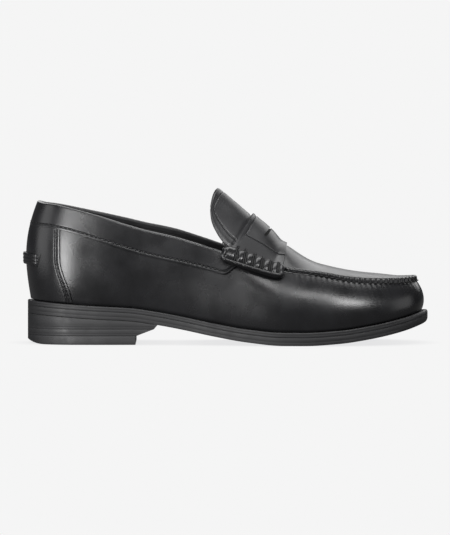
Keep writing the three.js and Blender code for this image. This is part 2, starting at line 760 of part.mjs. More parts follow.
const SLOT_CENTRE = 6.05;
const SLOT_MIDDLE = 0.45; // width at the crown, as a share of its width at the ends
const RIB_SPACING = 17; // mm between the ribs under the strap
const CUTTER = { above: 3, below: 0.5 }; // how far the slot's cutter stands past the strap's faces
function strapSlot() {
  const place = (u, v, offset) => {
    const a = lerp(SLOT_REACH, -SLOT_REACH, v);
    const width = SLOT_WIDTH * lerp(SLOT_MIDDLE, 1, Math.abs(a) / SLOT_REACH);
    return archSkin(SLOT_CENTRE + ((u - 0.5) * width) / RIB_SPACING, a, offset);
  };
  return shell(place, 2, 10, STRAP + CUTTER.above, -CUTTER.below);
}
function strap() {
  const place = (u, v, offset) =>
    archSkin(lerp(STRAP_FRONT, STRAP_BACK, u), lerp(STRAP_REACH, -STRAP_REACH, v), offset);
  return cut(shell(place, 8, 18, GAP + STRAP, GAP), strapSlot());
}

// The tongue narrows to a round end past the strap.
const TONGUE_TIP = { rib: 9.04, round: 0.42 }; // the end's middle, and how far its corners fall back
const TONGUE_HALF = { root: 0.94, loss: 0.3, curve: 2.2 }; // share of the arch that it covers
const TONGUE_LINING_INSET = 0.03;
function tonguePoint(u, v, offset, inset) {
  const a = lerp(1, -1, v);
  const p = lerp(TONGUE_ROOT, TONGUE_TIP.rib - inset - TONGUE_TIP.round * a * a, u);
  const half = (TONGUE_HALF.root - TONGUE_HALF.loss * u ** TONGUE_HALF.curve) * (1 - inset);
  return archSkin(p, a * half, offset);
}
const tongue = () => shell((u, v, offset) => tonguePoint(u, v, offset, 0), 9, 12, 0, -TONGUE);
function tongueLining() {
  const place = (u, v, offset) => tonguePoint(u, v, offset, TONGUE_LINING_INSET);
  return shell(place, 9, 12, -TONGUE - GAP, -TONGUE - GAP - TONGUE_LINING);
}

// Rolls that hold the strap's ends to the vamp: side -1 is the outer one, 1 the inner.
const ROLL_SPAN = { outer: [5.86, 7.16], inner: [16.82, 18.14] };
const ROLL_STEPS = 12;
const ROLL_SEAT = 0.93; // share of the wall's height that the roll's middle lies at
const ROLL_NOSE = { scale: 0.62, growth: 3 }; // its section at the ends, and its growth along the roll
function rollFrames(side, clearance) {
  const [start, end] = side < 0 ? ROLL_SPAN.outer : ROLL_SPAN.inner;
  return Array.from({ length: ROLL_STEPS + 1 }, (_, i) => {
    const u = i / ROLL_STEPS;
    const t = lerp(start, end, u);
    const normal = wallNormal(t, ROLL_SEAT);
    const along = wall(t + 0.01, ROLL_SEAT).sub(wall(t - 0.01, ROLL_SEAT)).normalize();
    const centre = wall(t, ROLL_SEAT).addScaledVector(normal, GAP + ROLL_DEPTH / 2);
    centre.addScaledVector(along, clearance * (2 * u - 1));
    const scale = Math.min(1, ROLL_NOSE.scale + ROLL_NOSE.growth * Math.min(u, 1 - u));
    return { centre, side: normal, top: normal.clone().cross(along), scale };
  });
}
function roll(side, clearance) {
  return ovalTube(rollFrames(side, clearance), ROLL_DEPTH / 2 + clearance, ROLL_HEIGHT / 2 + clearance, 12);
}

// Thread lacing over the outside of a roll: up, along, down, along.
const WRAPS = 6;
const WRAP_POINTS = 5;
const WRAP_LEAN = 0.12; // forward run of a wrap, as a share of the spacing
const LACE_ARC = 1.15;
const LACE_END = 1.6; // steps of the roll left free at each end
const LACE_STAND = GAP + THREAD / 2 + 0.25; // thread's middle above the roll
const THREAD_STEPS = 48;
const THREAD_SIDES = 3;
function rollThread(side) {
  const frames = rollFrames(side, 0);
  const points = [];
  for (let k = 0; k < WRAPS; k++) {
    for (let j = 0; j <= WRAP_POINTS; j++) {
      const share = j / WRAP_POINTS;
      const angle = lerp(-LACE_ARC, LACE_ARC, k % 2 ? 1 - share : share);
      const place = LACE_END + ((ROLL_STEPS - 2 * LACE_END) * (k + WRAP_LEAN * share)) / (WRAPS - 1);
      const low = Math.floor(place);
      const at = (frame) =>
        frame.centre
          .clone()
          .addScaledVector(frame.side, Math.cos(angle) * (ROLL_DEPTH / 2 + LACE_STAND))
          .addScaledVector(frame.top, Math.sin(angle) * (ROLL_HEIGHT / 2 + LACE_STAND));
      const ahead = frames[Math.min(low + 1, ROLL_STEPS)];
      points.push(at(frames[low]).lerp(at(ahead), place - low));
    }
  }
  return tubeAlong(points, THREAD / 2, THREAD_STEPS, THREAD_SIDES);
}

// Thread at the foot of the apron seam's lip, from roll to roll round the toe.
const SEAM_THREAD = { start: 7.3, end: 16.7, points: 44, stand: GAP + THREAD / 2 + 0.15, rise: 0.9 };
function seamThread() {
  const { start, end, points, stand, rise } = SEAM_THREAD;
  const path = Array.from({ length: points + 1 }, (_, i) => {
    const t = lerp(start, end, i / points);
    return topEdge(t).addScaledVector(outward(t), stand).addScaledVector(up, rise);
  });
  return tubeAlong(path, THREAD / 2, THREAD_STEPS, THREAD_SIDES);
}

// ---- Assembly ----
add("outsole", outsole(), "sole");
add("welt", welt(), "sole");
add("heel_top_piece", heelTopPiece(), "sole");
const nailHoles = NAILS.map(([x, y]) => nail(x, y, GAP));
add("heel_lift_lower", cut(lowerLift(), ...nailHoles), "sole");
add("heel_lift_upper", cut(upperLift(), ...nailHoles), "sole");
NAILS.forEach(([x, y], i) => add("heel_nail_" + (i + 1), nail(x, y, 0), "steel"));
add("cork_filler", cut(fillerBody(), shankStrip(GAP)), "cork");
add("shank", shankStrip(0), "steel");
add("insole_board", insoleBoard(), "board");
add("heel_pad", heelPad(), "lining");
add("sock_liner", sockLiner(), "lining");

add("vamp", vamp(), "leather");
add("heel_counter_stiffener", counterStiffener(), "board");
add("toe_puff", toePuff(), "board");
const { heel, outer, inner } = LINING_JOINT;
add("heel_grip", liningShell(ROUND - heel, ROUND + heel), "lining");
add("quarter_lining_outer", liningShell(heel + JOINT_GAP, outer), "lining");
add("quarter_lining_inner", liningShell(inner, ROUND - heel - JOINT_GAP), "lining");
add("vamp_lining", liningShell(outer + JOINT_GAP, inner - JOINT_GAP), "lining");
add("back_counter", counterPatch(), "leather");
add("collar_band", collarBand(), "leather");
add("heel_tab", heelTab(), "leather");

add("apron", apron(), "gloss");
add("apron_lining", apronLining(), "lining");
add("strap", strap(), "gloss");
add("tongue", tongue(), "gloss");
add("tongue_lining", tongueLining(), "lining");
add("beefroll_outer", roll(-1, 0), "leather");
add("beefroll_inner", roll(1, 0), "leather");
add("beefroll_thread_outer", rollThread(-1), "thread");
add("beefroll_thread_inner", rollThread(1), "thread");
add("apron_seam_thread", seamThread(), "thread");

export default shoe;
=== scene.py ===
# A man's right penny loafer in black calf, in the order that its pieces are put together: the last,
# the sole and heel, the upper and its linings, the apron, the strap and tongue, the rolls and threads.
import math

import bpy
import numpy as np
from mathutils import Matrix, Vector


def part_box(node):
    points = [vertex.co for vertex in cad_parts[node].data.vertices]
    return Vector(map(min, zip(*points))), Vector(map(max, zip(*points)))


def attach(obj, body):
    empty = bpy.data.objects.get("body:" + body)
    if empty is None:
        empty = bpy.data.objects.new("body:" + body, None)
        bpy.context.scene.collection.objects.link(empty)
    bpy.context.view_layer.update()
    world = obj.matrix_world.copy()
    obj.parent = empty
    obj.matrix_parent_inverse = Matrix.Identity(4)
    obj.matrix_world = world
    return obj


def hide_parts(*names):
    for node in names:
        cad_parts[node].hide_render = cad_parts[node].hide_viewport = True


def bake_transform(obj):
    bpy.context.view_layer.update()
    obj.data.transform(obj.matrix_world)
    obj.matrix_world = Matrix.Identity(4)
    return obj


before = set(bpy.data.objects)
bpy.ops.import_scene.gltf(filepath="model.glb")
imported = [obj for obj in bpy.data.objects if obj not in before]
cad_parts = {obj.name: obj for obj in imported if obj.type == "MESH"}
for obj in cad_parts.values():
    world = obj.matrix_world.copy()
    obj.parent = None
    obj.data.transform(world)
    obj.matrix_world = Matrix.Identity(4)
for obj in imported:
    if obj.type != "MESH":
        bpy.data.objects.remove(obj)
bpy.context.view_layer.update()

MM = 0.001


# ---- Studio ----
# A pale sweep of paper under and behind the shoe, and a long lens nearly level with its outer side. The
# floor
# glows: evenly in the paper's colour to the camera, dimly on the shoe, with a painted contact shadow under
# the shoe.
# Large soft boxes stand behind, overhead and off each end, and small ones in front draw the highlights.
def linear(colour):
    """An sRGB hex colour as linear red, green, blue and alpha."""
    channels = [int(colour[i : i + 2], 16) / 255 for i in (1, 3, 5)]
    return [c / 12.92 if c <= 0.04045 else ((c + 0.055) / 1.055) ** 2.4 for c in channels] + [1]


def add_node(tree, kind, inputs=None, **settings):
    """A node with its settings; an input is a value, or another node's output to link."""
    node = tree.nodes.new(kind)
    for key, value in settings.items():
        setattr(node, key, value)
    for key, value in (inputs or {}).items():
        if isinstance(value, bpy.types.NodeSocket):
            tree.links.new(value, node.inputs[key])
        else:
            node.inputs[key].default_value = value
    return node


PAPER = "#f5f5f5"
scene = bpy.context.scene
scene.view_settings.view_transform = "Standard"

world = bpy.data.worlds.new("studio")
world.use_nodes = True
scene.world = world
sky = world.node_tree
seen = add_node(sky, "ShaderNodeLightPath").outputs["Is Camera Ray"]
paper_or_dark = add_node(
    sky, "ShaderNodeMix", {0: seen, 6: linear("#4a4b4d"), 7: linear(PAPER)}, data_type="RGBA"
)
sky.links.new(paper_or_dark.outputs[2], sky.nodes["Background"].inputs["Color"])

bpy.ops.object.select_all(action="DESELECT")
bpy.ops.mesh.primitive_plane_add(size=60)
floor = bpy.context.object
floor.name = "floor"
paper = bpy.data.materials.new("glowing_paper_painted_contact_shadow")
paper.use_nodes = True
tree = paper.node_tree
tree.nodes.remove(tree.nodes["Principled BSDF"])
seen = add_node(tree, "ShaderNodeLightPath").outputs["Is Camera Ray"]
# Painted contact shadow: ambient occlusion greys the glowing floor where the shoe stands near it.
painted_contact_shadow = add_node(tree, "ShaderNodeAmbientOcclusion", {"Distance": 0.02}, samples=8).outputs["AO"]
shaded = add_node(
    tree, "ShaderNodeMix", {0: painted_contact_shadow, 6: linear("#e2e2e3"), 7: linear(PAPER)}, data_type="RGBA"
).outputs[2]
strength = add_node(tree, "ShaderNodeMapRange", {"Value": seen, "To Min": 0.155, "To Max": 1.0}).outputs[0]
glow = add_node(tree, "ShaderNodeEmission", {"Color": shaded, "Strength": strength})
tree.links.new(glow.outputs[0], tree.nodes["Material Output"].inputs["Surface"])
floor.data.materials.append(paper)

LENS = 480  # mm
FIELD = 0.388  # height of the view at the shoe
ELEVATION = math.radians(2.5)
AIM = Vector((-0.0006, 0, 0.0544))
camera = bpy.data.objects.new("camera", bpy.data.cameras.new("camera"))
scene.collection.objects.link(camera)
camera.data.lens = LENS
camera.data.clip_end = 100
distance = FIELD * LENS / camera.data.sensor_width
camera.location = AIM + distance * Vector((0, -math.cos(ELEVATION), math.sin(ELEVATION)))
camera.rotation_euler = (math.pi / 2 - ELEVATION, 0, 0)
scene.camera = camera


def soft_box(name, place, width, depth, power, aim=(0, 0, 0.04)):
    light = bpy.data.objects.new(name, bpy.data.lights.new(name, "AREA"))
    scene.collection.objects.link(light)
    light.data.shape = "RECTANGLE"
    light.data.size = width
    light.data.size_y = depth
    light.data.energy = power
    light.location = place
    light.rotation_euler = (Vector(place) - Vector(aim)).to_track_quat("Z", "Y").to_euler()


soft_box("back_box", (0.2, 1.25, 0.95), 2.2, 1.1, 15)
soft_box("overhead_box", (0.05, -0.1, 1.35), 1.1, 0.6, 11)
soft_box("collar_box", (-0.45, -0.95, 0.56), 0.24, 0.2, 2.7)
soft_box("quarter_box", (-0.27, -0.35, 0.1), 0.12, 0.17, 1.3)
soft_box("toe_box", (0.17, -0.86, 0.74), 0.5, 0.14, 2.6)
soft_box("toe_glint_box", (0.5, -0.86, 0.6), 0.3, 0.24, 4.4)
soft_box("heel_end_box", (-1.6, -0.35, 0.5), 1.0, 1.1, 6)
soft_box("toe_end_box", (1.6, -0.35, 0.45), 1.0, 0.9, 3.2)


# ---- The last ----
# The wooden form that the upper is pulled over. It is made of nothing that stays in the shoe: its
# surfaces, wall and arch, place every leather piece, and its outline cuts the sole. Millimetres.
SOLE_LENGTH = 290
PLATE_END = 0.25  # the outsole's plate stops this far inside its own outline's ends
HEEL_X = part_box("outsole")[0][0] / MM - PLATE_END  # the last is drawn from the back of the heel
TOE = 12
ROUND = 24
# Round the last from the heel by the outer side to the toe and back: sole x and y, top edge x and y,
# rise of the top edge above the welt, roundness of the wall, and the welt that shows.
STATIONS = [
    [0, 0, 9, 0, 71.5, 7.5, 3.9], [7, -20, 12.6, -12.6, 70.7, 7, 3.4],
    [24, -31.5, 24.5, -21.8, 70.3, 6, 2.8], [50, -34, 49, -27, 65.8, 4.5, 2.5],
    [82, -33.5, 80, -29.6, 58.5, 3.5, 2.4], [115, -35.5, 112, -31.6, 56.5, 3.5, 2.4],
    [150, -42.5, 145, -34, 53.4, 5, 2.6], [183, -49.5, 180, -36.8, 44.6, 8.5, 3],
    [215, -50, 212, -36.5, 39.3, 10, 3], [244, -45, 238, -33.6, 31.9, 9, 3],
    [268.5, -34.5, 260.5, -25.8, 25.9, 7.5, 3.2], [284.2, -19.3, 275.8, -14, 21.4, 6, 3.8],
    [290, 0, 281.5, 0, 20.2, 5, 4.4], [285.2, 18.8, 276, 14.2, 21.1, 6, 3.8],
    [269, 34.5, 260.5, 26.2, 25.6, 7.5, 3.2], [244, 45.8, 238, 34.6, 32.1, 9, 3],
    [213, 50, 211, 37.5, 39.8, 10, 3], [181, 47.5, 179, 36, 46.1, 8, 3],
    [150, 38.5, 145, 32.5, 55.9, 4.5, 2.6], [118, 30, 112, 29.6, 60.9, 3, 2.2],
    [84, 30.5, 80, 28.8, 62, 3, 2.2], [50, 33.5, 49, 27, 66.6, 4.5, 2.5],
    [24, 31.5, 24.5, 21.8, 70, 6, 2.8], [7, 20, 12.6, 12.6, 70.7, 7, 3.4],
]
HEEL_CURVE = [
    [0, 1], [0.16, 0.845], [0.26, 0.77], [0.325, 0.65], [0.385, 0.505], [0.465, 0.286],
    [0.55, 0.1], [0.64, 0], [1, 0],
]
TOE_CURVE = [[0, 0], [0.69, 0], [0.775, 0.09], [0.86, 0.316], [0.94, 0.645], [1, 1]]
HEEL_RISE, TOE_SPRING = 22, 15.5
OUTSOLE, WELT, GAP = 5.6, 3.6, 0.3
# Ribs of the arch from the toe to the tongue: the stations it springs from, crown ahead and above.
RIBS = [
    [10, 14, 17.6, 0.5], [9.3, 14.7, 15, 2.0], [8.68, 15.32, 10, 2.4], [8.1, 15.88, 7, 3.0],
    [7.62, 16.36, 5, 5.8], [7.13, 16.85, 2.8, 14.8], [6.65, 17.35, 8, 21.8],
    [6.05, 17.95, 16.5, 24.5], [6.05, 17.95, 20.5, 25.8], [6.05, 17.95, 25.5, 26],
]
UP = np.array([0.0, 0, 1])


def unit(vectors):
    return vectors / np.maximum(np.linalg.norm(vectors, axis=-1, keepdims=True), 1e-9)


def smooth(x, start, end):
    x = np.clip((np.asarray(x, float) - start) / (end - start), 0, 1)
    return x * x * (3 - 2 * x)


def dip(distance, width):
    """A soft hollow: 1 on its middle line, falling to 0 a little past this width from it."""
    return np.exp(-((distance / width) ** 2))


def between(x, start, full, leaving, end):
    """Rises from 0 to 1 over the first two values and falls back over the last two."""
    return np.minimum(smooth(x, start, full), 1 - smooth(x, leaving, end))


def hermite(f, start, leaving, end, arriving):
    return (
        (2 * f**3 - 3 * f**2 + 1) * start
        + (f**3 - 2 * f**2 + f) * leaving
        + (3 * f**2 - 2 * f**3) * end
        + (f**3 - f**2) * arriving
    )


def through_rows(rows, t, closed):
    """A smooth curve through rows of numbers at row number t, closed or held at its ends."""
    rows = np.asarray(rows, float)
    i = np.floor(t).astype(int)
    last = len(rows) - 1
    a, b, c, d = (rows[k % len(rows) if closed else np.clip(k, 0, last)] for k in (i - 1, i, i + 1, i + 2))
    return hermite((t - i)[..., None], b, (c - a) / 2, c, (d - b) / 2)


def through_points(points, x):
    """A curve through points x, y that never swings past them."""
    px, py = np.array(points, float).T
    slope = np.diff(py) / np.diff(px)
    tangent = np.r_[slope[0], np.zeros(len(px) - 2), slope[-1]]
    before, after = slope[:-1], slope[1:]
    same_way = before * after > 0
    tangent[1:-1][same_way] = (2 * before * after)[same_way] / (before + after)[same_way]
    i = np.clip(np.searchsorted(px, x, side="left") - 1, 0, len(px) - 2)
    width = px[i + 1] - px[i]
    f = np.clip((x - px[i]) / width, 0, 1)
    return hermite(f, py[i], width * tangent[i], py[i + 1], width * tangent[i + 1])


def ground_rise(x):
    share = x / SOLE_LENGTH
    return HEEL_RISE * through_points(HEEL_CURVE, share) + TOE_SPRING * through_points(TOE_CURVE, share)


def feather_z(x):
    return ground_rise(x) + OUTSOLE + WELT + 2 * GAP


def station(t):
    return through_rows(STATIONS, np.asarray(t, float) % ROUND, True)


def sole_edge(t):
    return station(t)[..., :2]


def outward(t):
    along = unit(sole_edge(np.asarray(t) + 0.02) - sole_edge(np.asarray(t) - 0.02))
    return np.stack([along[..., 1], -along[..., 0], 0 * along[..., 0]], -1)


def feather(t):
    row = station(t)
    plan = row[..., :2] - outward(t)[..., :2] * row[..., 6:7]
    return np.concatenate([plan, feather_z(plan[..., :1])], -1)


def top_edge(t):
    row = station(t)
    return np.concatenate([row[..., 2:4], feather_z(row[..., :1]) + row[..., 4:5]], -1)


BACK_SWELL, SWELL_REACH = 1.7, 1.4  # the leather swells at the back of the heel, over these stations
KNEE_OUT, KNEE_RISE = 3.6, 0.35  # the wall's curve leaves the welt outwards
SHOULDER_DROP = 0.28  # and arrives at the top edge from this share of its height below


def wall(t, h):
    """The wall of the upper at a station, from the welt (h = 0) to the top edge (h = 1)."""
    t, h = np.broadcast_arrays(np.asarray(t, float), np.asarray(h, float))
    foot, top, out = feather(t), top_edge(t), outward(t)
    rise = (top - foot)[..., 2:3] * UP
    knee = foot + KNEE_OUT * out + KNEE_RISE * rise
    shoulder = top + out * station(t)[..., 5:6] - SHOULDER_DROP * rise
    f = h[..., None]
    from_back = np.minimum(t % ROUND, ROUND - t % ROUND)
    swell = BACK_SWELL * dip(from_back, SWELL_REACH) * np.sin(math.pi * h) ** 1.5
    return (
        (1 - f) ** 3 * foot + 3 * (1 - f) ** 2 * f * knee + 3 * (1 - f) * f**2 * shoulder + f**3 * top
        + out * swell[..., None]
    )


def wall_up(t, h):
    return unit(wall(t, np.minimum(h + 0.01, 1)) - wall(t, np.maximum(h - 0.01, 0)))


def wall_normal(t, h):
    along = wall(np.asarray(t) + 0.01, h) - wall(np.asarray(t) - 0.01, h)
    return unit(np.cross(along, wall_up(t, h)))


def skin(t, h, offset):
    return wall(t, h) + wall_normal(t, h) * np.asarray(offset, float)[..., None]


CLIMBS, STEPS = 80, 960  # the wall is measured at this many heights and places round the shoe
GIRTH = np.linspace(0, ROUND, STEPS + 1)
climb = wall(GIRTH[:, None], np.linspace(0, 1, CLIMBS + 1)[None, :])
wall_length = np.linalg.norm(np.diff(climb, axis=1), axis=-1).sum(1)
wall_rise = climb[:, :, 2] - climb[:, :1, 2]
top_run = np.r_[0, np.cumsum(np.linalg.norm(np.diff(top_edge(GIRTH), axis=0), axis=-1))]


def share_at_rise(t, rise):
    """Share of the wall's height, h, that lies a rise above the welt."""
    t, rise = np.broadcast_arrays(np.asarray(t, float) % ROUND, np.asarray(rise, float))
    k = np.clip(np.round(t / ROUND * STEPS).astype(int), 0, STEPS)
    below = (wall_rise[k] < rise[..., None]).sum(-1).clip(1, CLIMBS)
    r0 = np.take_along_axis(wall_rise[k], (below - 1)[..., None], -1)[..., 0]
    r1 = np.take_along_axis(wall_rise[k], below[..., None], -1)[..., 0]
    return np.clip((below - 1 + (rise - r0) / np.maximum(r1 - r0, 1e-6)) / CLIMBS, 0, 1)


def share_below_top(t, drop):
    return share_at_rise(t, top_edge(t)[..., 2] - feather(t)[..., 2] - drop)


LIP = 3.3  # the apron seam stands this high round the toe
LIP_LEFT = 0.4  # and this much behind the strap


def lip(t):
    t = np.asarray(t, float) % ROUND
    return LIP_LEFT + (LIP - LIP_LEFT) * between(t, 6.9, 7.25, 16.75, 17.1)


APRON_INSET, APRON_DROP = 2.1, 0.9  # from the top edge, and below the top of the lip


def apron_edge(t):
    return top_edge(t) - APRON_INSET * outward(t) + (lip(t) - APRON_DROP)[..., None] * UP


ARCH_POWER = 2.25  # how square the arch's shoulders are
STRAIGHT_RIBS, RIB_STEP = 7, np.array([-17, 0, 9.4])  # past the strap each rib stands this much further
RIB_NARROWING = 0.03


def arch(p, a):
    """Over the foot: along the ribs by p, across from the outer side (a = -1) to the inner (a = 1)."""
    p, a = np.broadcast_arrays(np.asarray(p, float), np.asarray(a, float))
    rib = through_rows(RIBS, p, False)
    past = np.maximum(p - STRAIGHT_RIBS, 0)[..., None]
    outer, inner = apron_edge(rib[..., 0]), apron_edge(rib[..., 1])
    middle = (outer + inner) / 2
    reach = np.abs(a)[..., None] * (1 - RIB_NARROWING * past)
    chord = middle + (np.where(a[..., None] < 0, outer, inner) - middle) * reach
    crown = np.stack([rib[..., 2], 0 * a, rib[..., 3]], -1)
    bow = (1 - np.abs(a) ** ARCH_POWER)[..., None]
    point = chord + RIB_STEP * past + crown * bow
    share = ((a + 1) / 2)[..., None]
    start, end, ahead, above = RIBS[0]
    toe = apron_edge(start + (end - start) * share[..., 0])
    first_outer, first_inner = apron_edge(0 * a + start), apron_edge(0 * a + end)
    plain = first_outer + (first_inner - first_outer) * share + np.array([ahead, 0, above]) * bow
    return point + (toe - plain) * (np.maximum(1 - p, 0) ** 2)[..., None]


def arch_normal(p, a):
    along = arch(p + 0.01, a) - arch(np.maximum(p - 0.01, 0), a)
    across = arch(p, np.minimum(a + 0.01, 1)) - arch(p, np.maximum(a - 0.01, -1))
    return unit(np.cross(across, along))


def arch_skin(p, a, offset):
    return arch(p, a) + arch_normal(p, a) * np.asarray(offset, float)[..., None]


# ---- Sole edge finish and the making of a piece ----
# The sole and heel are moulded from black rubber compound, trimmed on a wheel and inked, which
# leaves a matt edge with faint lines running round it.
def surface(name, tones, roughness, tint, relief, depth, strength=1.0, wear=None, **sockets):
    """A material of textures in the piece's own space. Tint runs the colour between two tones, and the
    sum of relief is a bump of a depth. Wear, or else tint, runs the roughness where that is a pair.
    A texture is its kind, its cells' size in millimetres, a setting, and how far it is drawn out."""
    material = bpy.data.materials.new(name)
    material.use_nodes = True
    tree = material.node_tree
    shader = tree.nodes["Principled BSDF"]
    for key, value in sockets.items():
        shader.inputs[key].default_value = value
    place = add_node(tree, "ShaderNodeTexCoord").outputs["Object"]
    made = {}
    for texture in dict.fromkeys([tint, wear or tint, *relief]):
        kind, size, setting, value, *drawn = texture
        where = place
        if drawn:
            where = add_node(tree, "ShaderNodeMapping", {"Vector": place, "Scale": drawn[0]}).outputs[0]
        inputs = {"Vector": where, "Scale": 1 / (size * MM), setting: value}
        made[texture] = add_node(tree, f"ShaderNodeTex{kind}", inputs).outputs[0]
    ramp = add_node(tree, "ShaderNodeValToRGB", {"Fac": made[tint]})
    for element, position, tone in zip(ramp.color_ramp.elements, (0.3, 0.7), tones):
        element.position = position
        element.color = linear(tone)
    tree.links.new(ramp.outputs["Color"], shader.inputs["Base Color"])
    if isinstance(roughness, tuple):
        ends = {"From Min": 0.3, "From Max": 0.7, "To Min": roughness[0], "To Max": roughness[1]}
        rough = add_node(tree, "ShaderNodeMapRange", {"Value": made[wear or tint], **ends})
        tree.links.new(rough.outputs[0], shader.inputs["Roughness"])
    else:
        shader.inputs["Roughness"].default_value = roughness
    height = made[relief[0]]
    for texture in relief[1:]:
        height = add_node(tree, "ShaderNodeMath", {0: height, 1: made[texture]}, operation="ADD").outputs[0]
    bump = add_node(tree, "ShaderNodeBump", {"Strength": strength, "Distance": depth * MM, "Height": height})
    tree.links.new(bump.outputs[0], shader.inputs["Normal"])
    return material


# Inked rubber: matt charcoal, with trimming lines under a millimetre apart that run level and a faint
# unevenness of the ink, a few millimetres across.
TRIMMED = ("Noise", 0.9, "Detail", 3.0, (0.02, 0.02, 1))
INKED = ("Noise", 9, "Detail", 4.0)
rubber = surface(
    "inked_rubber", ("#161617", "#1d1d1f"), (0.48, 0.66), TRIMMED, [TRIMMED], 0.09, 0.4, INKED, IOR=1.5
)


def deselect():
    bpy.ops.object.select_all(action="DESELECT")


def only(piece):
    deselect()
    piece.select_set(True)
    bpy.context.view_layer.objects.active = piece


def panel(name, columns, rows, place):
    """A grid of columns by rows faces, laid where place(u, v) says in the last's millimetres."""
    deselect()
    bpy.ops.mesh.primitive_grid_add(x_subdivisions=columns, y_subdivisions=rows, size=1)
    piece = bpy.context.object
    piece.name = piece.data.name = name
    flat = np.empty(len(piece.data.vertices) * 3)
    piece.data.vertices.foreach_get("co", flat)
    flat = flat.reshape(-1, 3)
    points = place(np.clip(flat[:, 0] + 0.5, 0, 1), np.clip(flat[:, 1] + 0.5, 0, 1))
    piece.data.vertices.foreach_set("co", ((points + [HEEL_X, 0, 0]) * MM).ravel())
    piece.data.update()
    return piece


def close(piece, cap_ends=False):
    """Joins the edges that meet, gives an open tube's ends a face each, and turns the faces out."""
    only(piece)
    bpy.ops.object.mode_set(mode="EDIT")
    bpy.ops.mesh.select_all(action="SELECT")
    bpy.ops.mesh.remove_doubles(threshold=0.01 * MM)
    if cap_ends:
        bpy.ops.mesh.select_all(action="DESELECT")
        bpy.ops.mesh.select_non_manifold()
        bpy.ops.mesh.fill_holes(sides=0)
        bpy.ops.mesh.select_all(action="SELECT")
    bpy.ops.mesh.normals_make_consistent(inside=False)
    bpy.ops.object.mode_set(mode="OBJECT")


def modify(piece, kind, **settings):
    modifier = piece.modifiers.new(kind.lower(), kind)
    for key, value in settings.items():
        setattr(modifier, key, value)
    only(piece)
    bpy.ops.object.modifier_apply(modifier=modifier.name)


def thicken(piece, thickness, edge=0.35):
    """Gives a skin its thickness under its face, and rounds its cut edges."""
    modify(piece, "SOLIDIFY", thickness=thickness * MM, offset=-1)
    if edge:
        corner = math.radians(55)
        modify(piece, "BEVEL", width=edge * MM, segments=2, limit_method="ANGLE", angle_limit=corner)


def fit(piece, material, slot, *stands_for, bends=False, angle=40):
    """Finishes a piece and fixes it to the shoe, or, where it bends, only bakes its place into its mesh."""
    if not piece.data.materials:
        piece.data.materials.append(material)
    only(piece)
    bpy.ops.object.shade_smooth_by_angle(angle=math.radians(angle))
    deselect()
    if bends:
        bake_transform(piece)
    else:
        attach(piece, "shoe")
    if stands_for:
        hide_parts(*stands_for)
    return piece


BREAST_COLUMNS = 14
SPINE_BACK, SPINE_FRONT = 22, 14  # the sole's middle line stops this far from its ends
BREAST_CORNER = 1.3  # an inset goes further at the corners of the breast


def sole_ring(count, front=None):
    """Points round the sole, or round its heel up to front, that face each other at the same x.
    Gives each one's plan, its direction out, the point of the middle line it faces, and which are on
    the breast."""
    fine = np.linspace(0, TOE, 1201)
    reach = TOE if front is None else np.interp(front, sole_edge(fine)[:, 0], fine)
    outer = np.linspace(0, reach, count + 1)
    back = ROUND - fine
    inner = np.interp(sole_edge(outer)[:, 0], sole_edge(back)[:, 0], back)
    near, far = sole_edge(outer), sole_edge(inner)
    near_out, far_out = outward(outer)[:, :2], outward(inner)[:, :2]
    end = SOLE_LENGTH if front is None else front
    spine_x = np.clip(near[:, 0], SPINE_BACK, end - SPINE_FRONT)
    middle = np.stack([spine_x, (near[:, 1] + far[:, 1]) / 2], -1)
    across = np.linspace(0, 1, BREAST_COLUMNS)[1:-1, None] if front else np.zeros((0, 1))
    ahead = np.tile([1.0, 0], (len(across), 1))
    if front:
        near_out[-1] = unit(near_out[-1] + [1, 0]) * BREAST_CORNER
        far_out[-1] = unit(far_out[-1] + [1, 0]) * BREAST_CORNER
    homeward = slice(-1 if front else -2, 0, -1)
    plan = np.concatenate([near, near[-1] + (far[-1] - near[-1]) * across, far[homeward]])
    out = np.concatenate([near_out, ahead, far_out[homeward]])
    spine = np.concatenate([middle, np.repeat(middle[-1:], len(across), 0), middle[homeward]])
    on_breast = np.zeros(len(plan), bool)
    if front:
        on_breast[count : count + len(across) + 2] = True
    return plan, out, spine, on_breast


SPINE = "spine"
EDGE_TOP = 9.3  # height of the sole's edge with its welt
LOW_ROUND, HIGH_ROUND = (3.4, 2.4), (2.6, 2.2)  # height and depth of the rounding of its corners


def nose(x, height):
    """How far the sole's edge is drawn in at the toe, where its corners are trimmed round."""
    drawn_in = 0
    for corner, (tall, deep) in ((height, LOW_ROUND), (EDGE_TOP - height, HIGH_ROUND)):
        drawn_in = drawn_in + deep * (1 - np.sqrt(1 - np.clip(1 - corner / tall, 0, 1) ** 2))
    return smooth(x, 262, 286) * drawn_in


def slab(name, ring, profile, lean=0.0, lean_from=0.0, toe_round=False):
    """A solid slab: its profile is rows of inset from the ring, or SPINE, and height as a function of x,
    from the underside's middle round the edge to the upper side's middle."""
    plan, out, spine, on_breast = ring
    columns = len(plan)

    def place(u, v):
        k = np.rint(u * columns).astype(int) % columns
        row = np.rint(v * (len(profile) - 1)).astype(int)
        points = np.zeros((len(u), 3))
        for j, (inset, height) in enumerate(profile):
            here = row == j
            if inset == SPINE:
                xy = spine[k[here]]
            else:
                xy = plan[k[here]] - out[k[here]] * inset
                if toe_round:
                    drawn_in = nose(xy[:, 0], height(xy[:, 0]) - ground_rise(xy[:, 0]))
                    xy = xy - out[k[here]] * drawn_in[:, None]
            z = height(xy[:, 0])
            if inset != SPINE:
                xy = xy + on_breast[k[here], None] * np.stack([(z - lean_from) * lean, 0 * z], -1)
            points[here] = np.column_stack([xy, z])
        return points

    piece = panel(name, columns, len(profile) - 1, place)
    close(piece)
    return piece


def raised(level, rows):
    """Rows of a profile from each one's inset, or SPINE, and its height above a level."""
    return [(inset, lambda x, up=up: level(x) + up) for inset, up in rows]


